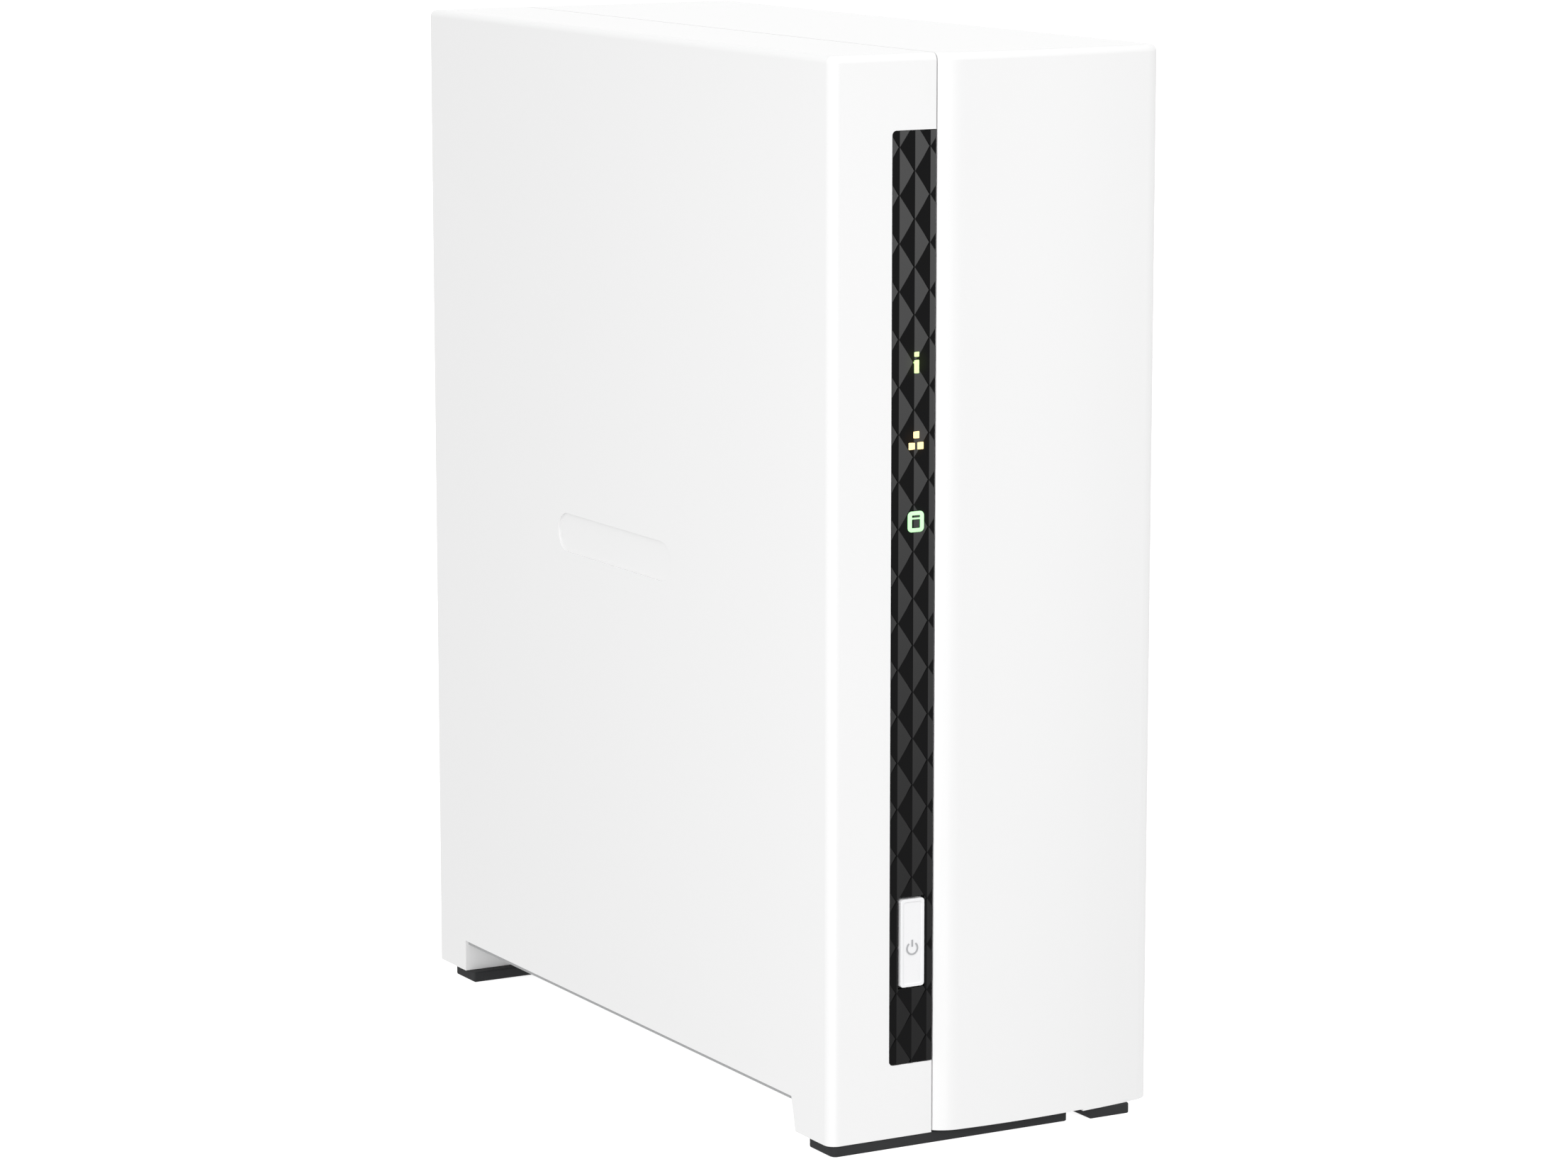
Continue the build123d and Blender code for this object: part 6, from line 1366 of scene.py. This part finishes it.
# ------------------------------------------------------------------ studio
@dataclass
class Studio:
    """Pale floor, soft light and the camera."""

    lens_mm: float = 116.08
    camera_at: tuple[float, float, float] = (-0.45143, -0.80262, 0.24454)
    look_at: tuple[float, float, float] = (0.001372, 0.00052, 0.084966)
    behind: float = 1.03
    before: float = 1.27
    left: float = 0.77
    under: float = 0.66
    zenith: float = 1.05
    flag: float = 0.18
    card_low: float = 0.4
    card_high: float = 1.5

    def sky(self) -> bpy.types.World:
        """A white surround, dimmer in front, with a dark flag and a bright card low down for the trim."""
        world = bpy.data.worlds.new("soft sky")
        world.use_nodes = True
        tree = world.node_tree
        tree.nodes.clear()

        def ramp(value: Any, start: float, end: float, low: float, high: float) -> bpy.types.NodeSocket:
            """A smooth step from one level to another."""
            return add(tree, "ShaderNodeMapRange", {"interpolation_type": "SMOOTHSTEP"},
                       {"Value": value, "From Min": start, "From Max": end,
                        "To Min": low, "To Max": high}).outputs[0]

        def times(first: Any, second: Any) -> bpy.types.NodeSocket:
            """Two values multiplied."""
            return add(tree, "ShaderNodeMath", {"operation": "MULTIPLY"}, {0: first, 1: second}).outputs[0]

        def towards(azimuth: float, elevation: float) -> bpy.types.NodeSocket:
            """How closely a ray looks along a direction, given in degrees from the front."""
            turn, tilt = math.radians(azimuth), math.radians(elevation)
            aim = (math.sin(turn) * math.cos(tilt), -math.cos(turn) * math.cos(tilt), math.sin(tilt))
            return add(tree, "ShaderNodeVectorMath", {"operation": "DOT_PRODUCT"},
                       {0: way, 1: aim}).outputs["Value"]

        def blend(factor: Any, first: Any, second: Any) -> bpy.types.NodeSocket:
            """One level faded into another."""
            return add(tree, "ShaderNodeMix", None, {0: factor, 2: first, 3: second}).outputs[0]

        way = add(tree, "ShaderNodeTexCoord").outputs["Generated"]
        at = add(tree, "ShaderNodeSeparateXYZ", None, {0: way})
        level = times(ramp(at.outputs["Y"], -0.25, 0.35, self.before, self.behind),
                      ramp(at.outputs["Z"], 0.35, 0.9, 1.0, self.zenith))
        level = times(level, ramp(at.outputs["X"], -0.75, -0.05, self.left, 1.0))
        level = blend(ramp(at.outputs["Z"], -0.5, -0.3, 1.0, 0.0), level, self.under)
        below = ramp(at.outputs["Z"], 0.0, 0.06, 1.0, 0.0)
        dark = times(ramp(towards(12.0, -10.0), 0.90, 0.95, 0.0, 1.0), below)
        card = times(ramp(towards(50.0, -10.0), 0.90, 0.95, 0.0, 1.0), below)
        level = blend(dark, level, self.flag)
        level = blend(card, level, ramp(at.outputs["Z"], -0.27, -0.07, self.card_low, self.card_high))
        sky = add(tree, "ShaderNodeBackground", None, {"Color": (1, 1, 1, 1), "Strength": level})
        add(tree, "ShaderNodeOutputWorld", None, {"Surface": sky.outputs[0]})
        return world

    def area(self, name: str, place: tuple[float, float, float], target: tuple[float, float, float],
             size: tuple[float, float], watts: float) -> bpy.types.Object:
        """A rectangular softbox that faces a target.

        Args:
            name: the light's name.
            place: where it stands, in metres.
            target: the point it faces.
            size: its width and height.
            watts: its power.

        Returns:
            The light's object.
        """
        light = bpy.data.lights.new(name, "AREA")
        light.shape = "RECTANGLE"
        light.size, light.size_y = size
        light.energy = watts
        holder = bpy.data.objects.new(name, light)
        holder.location = place
        holder.rotation_euler = (Vector(target) - Vector(place)).to_track_quat("-Z", "Y").to_euler()
        bpy.context.scene.collection.objects.link(holder)
        return holder

    def floor(self) -> None:
        """A large pale sheet under the feet."""
        shape = bmesh.new()
        bmesh.ops.create_grid(shape, x_segments=1, y_segments=1, size=4.0)
        mesh = bpy.data.meshes.new("floor")
        shape.to_mesh(mesh)
        shape.free()
        sheet = new_object("floor", mesh)
        paper = Moulded("pale matt paper", "#f4f4f4", 0.9, grain=0.0, mottle=0.0).material()
        shader = principled(paper)
        shader.inputs["Emission Color"].default_value = (1.0, 1.0, 1.0, 1.0)
        shader.inputs["Emission Strength"].default_value = 0.75
        shader.inputs["Specular IOR Level"].default_value = 0.0
        mesh.materials.append(paper)
        sheet.visible_glossy = False
        sheet.visible_diffuse = False

    def build(self) -> None:
        """Set up light, floor and camera."""
        scene = bpy.context.scene
        scene.view_settings.view_transform = "Standard"
        scene.world = self.sky()
        self.floor()
        self.area("softbox_left", (-0.45, -0.45, 0.12), (0, 0, 0.1), (0.25, 0.4), 1.5)
        lens = bpy.data.cameras.new("camera")
        lens.lens = self.lens_mm
        lens.sensor_width = 36.0
        lens.clip_start = 0.01
        camera = bpy.data.objects.new("camera", lens)
        camera.location = self.camera_at
        aim = Vector(self.look_at) - Vector(self.camera_at)
        camera.rotation_euler = aim.to_track_quat("-Z", "Y").to_euler()
        scene.collection.objects.link(camera)
        scene.camera = camera


def main() -> None:
    """Build every sub-assembly in order, then the studio."""
    logging.basicConfig(level=logging.INFO, format="%(message)s")
    for part in (Casing(), FrontTrim(), RearSide(), Fan(), Electronics(), DriveBay(), Studio()):
        LOG.info("building %s", type(part).__name__)
        part.build()


if __name__ == "__main__":
    main()
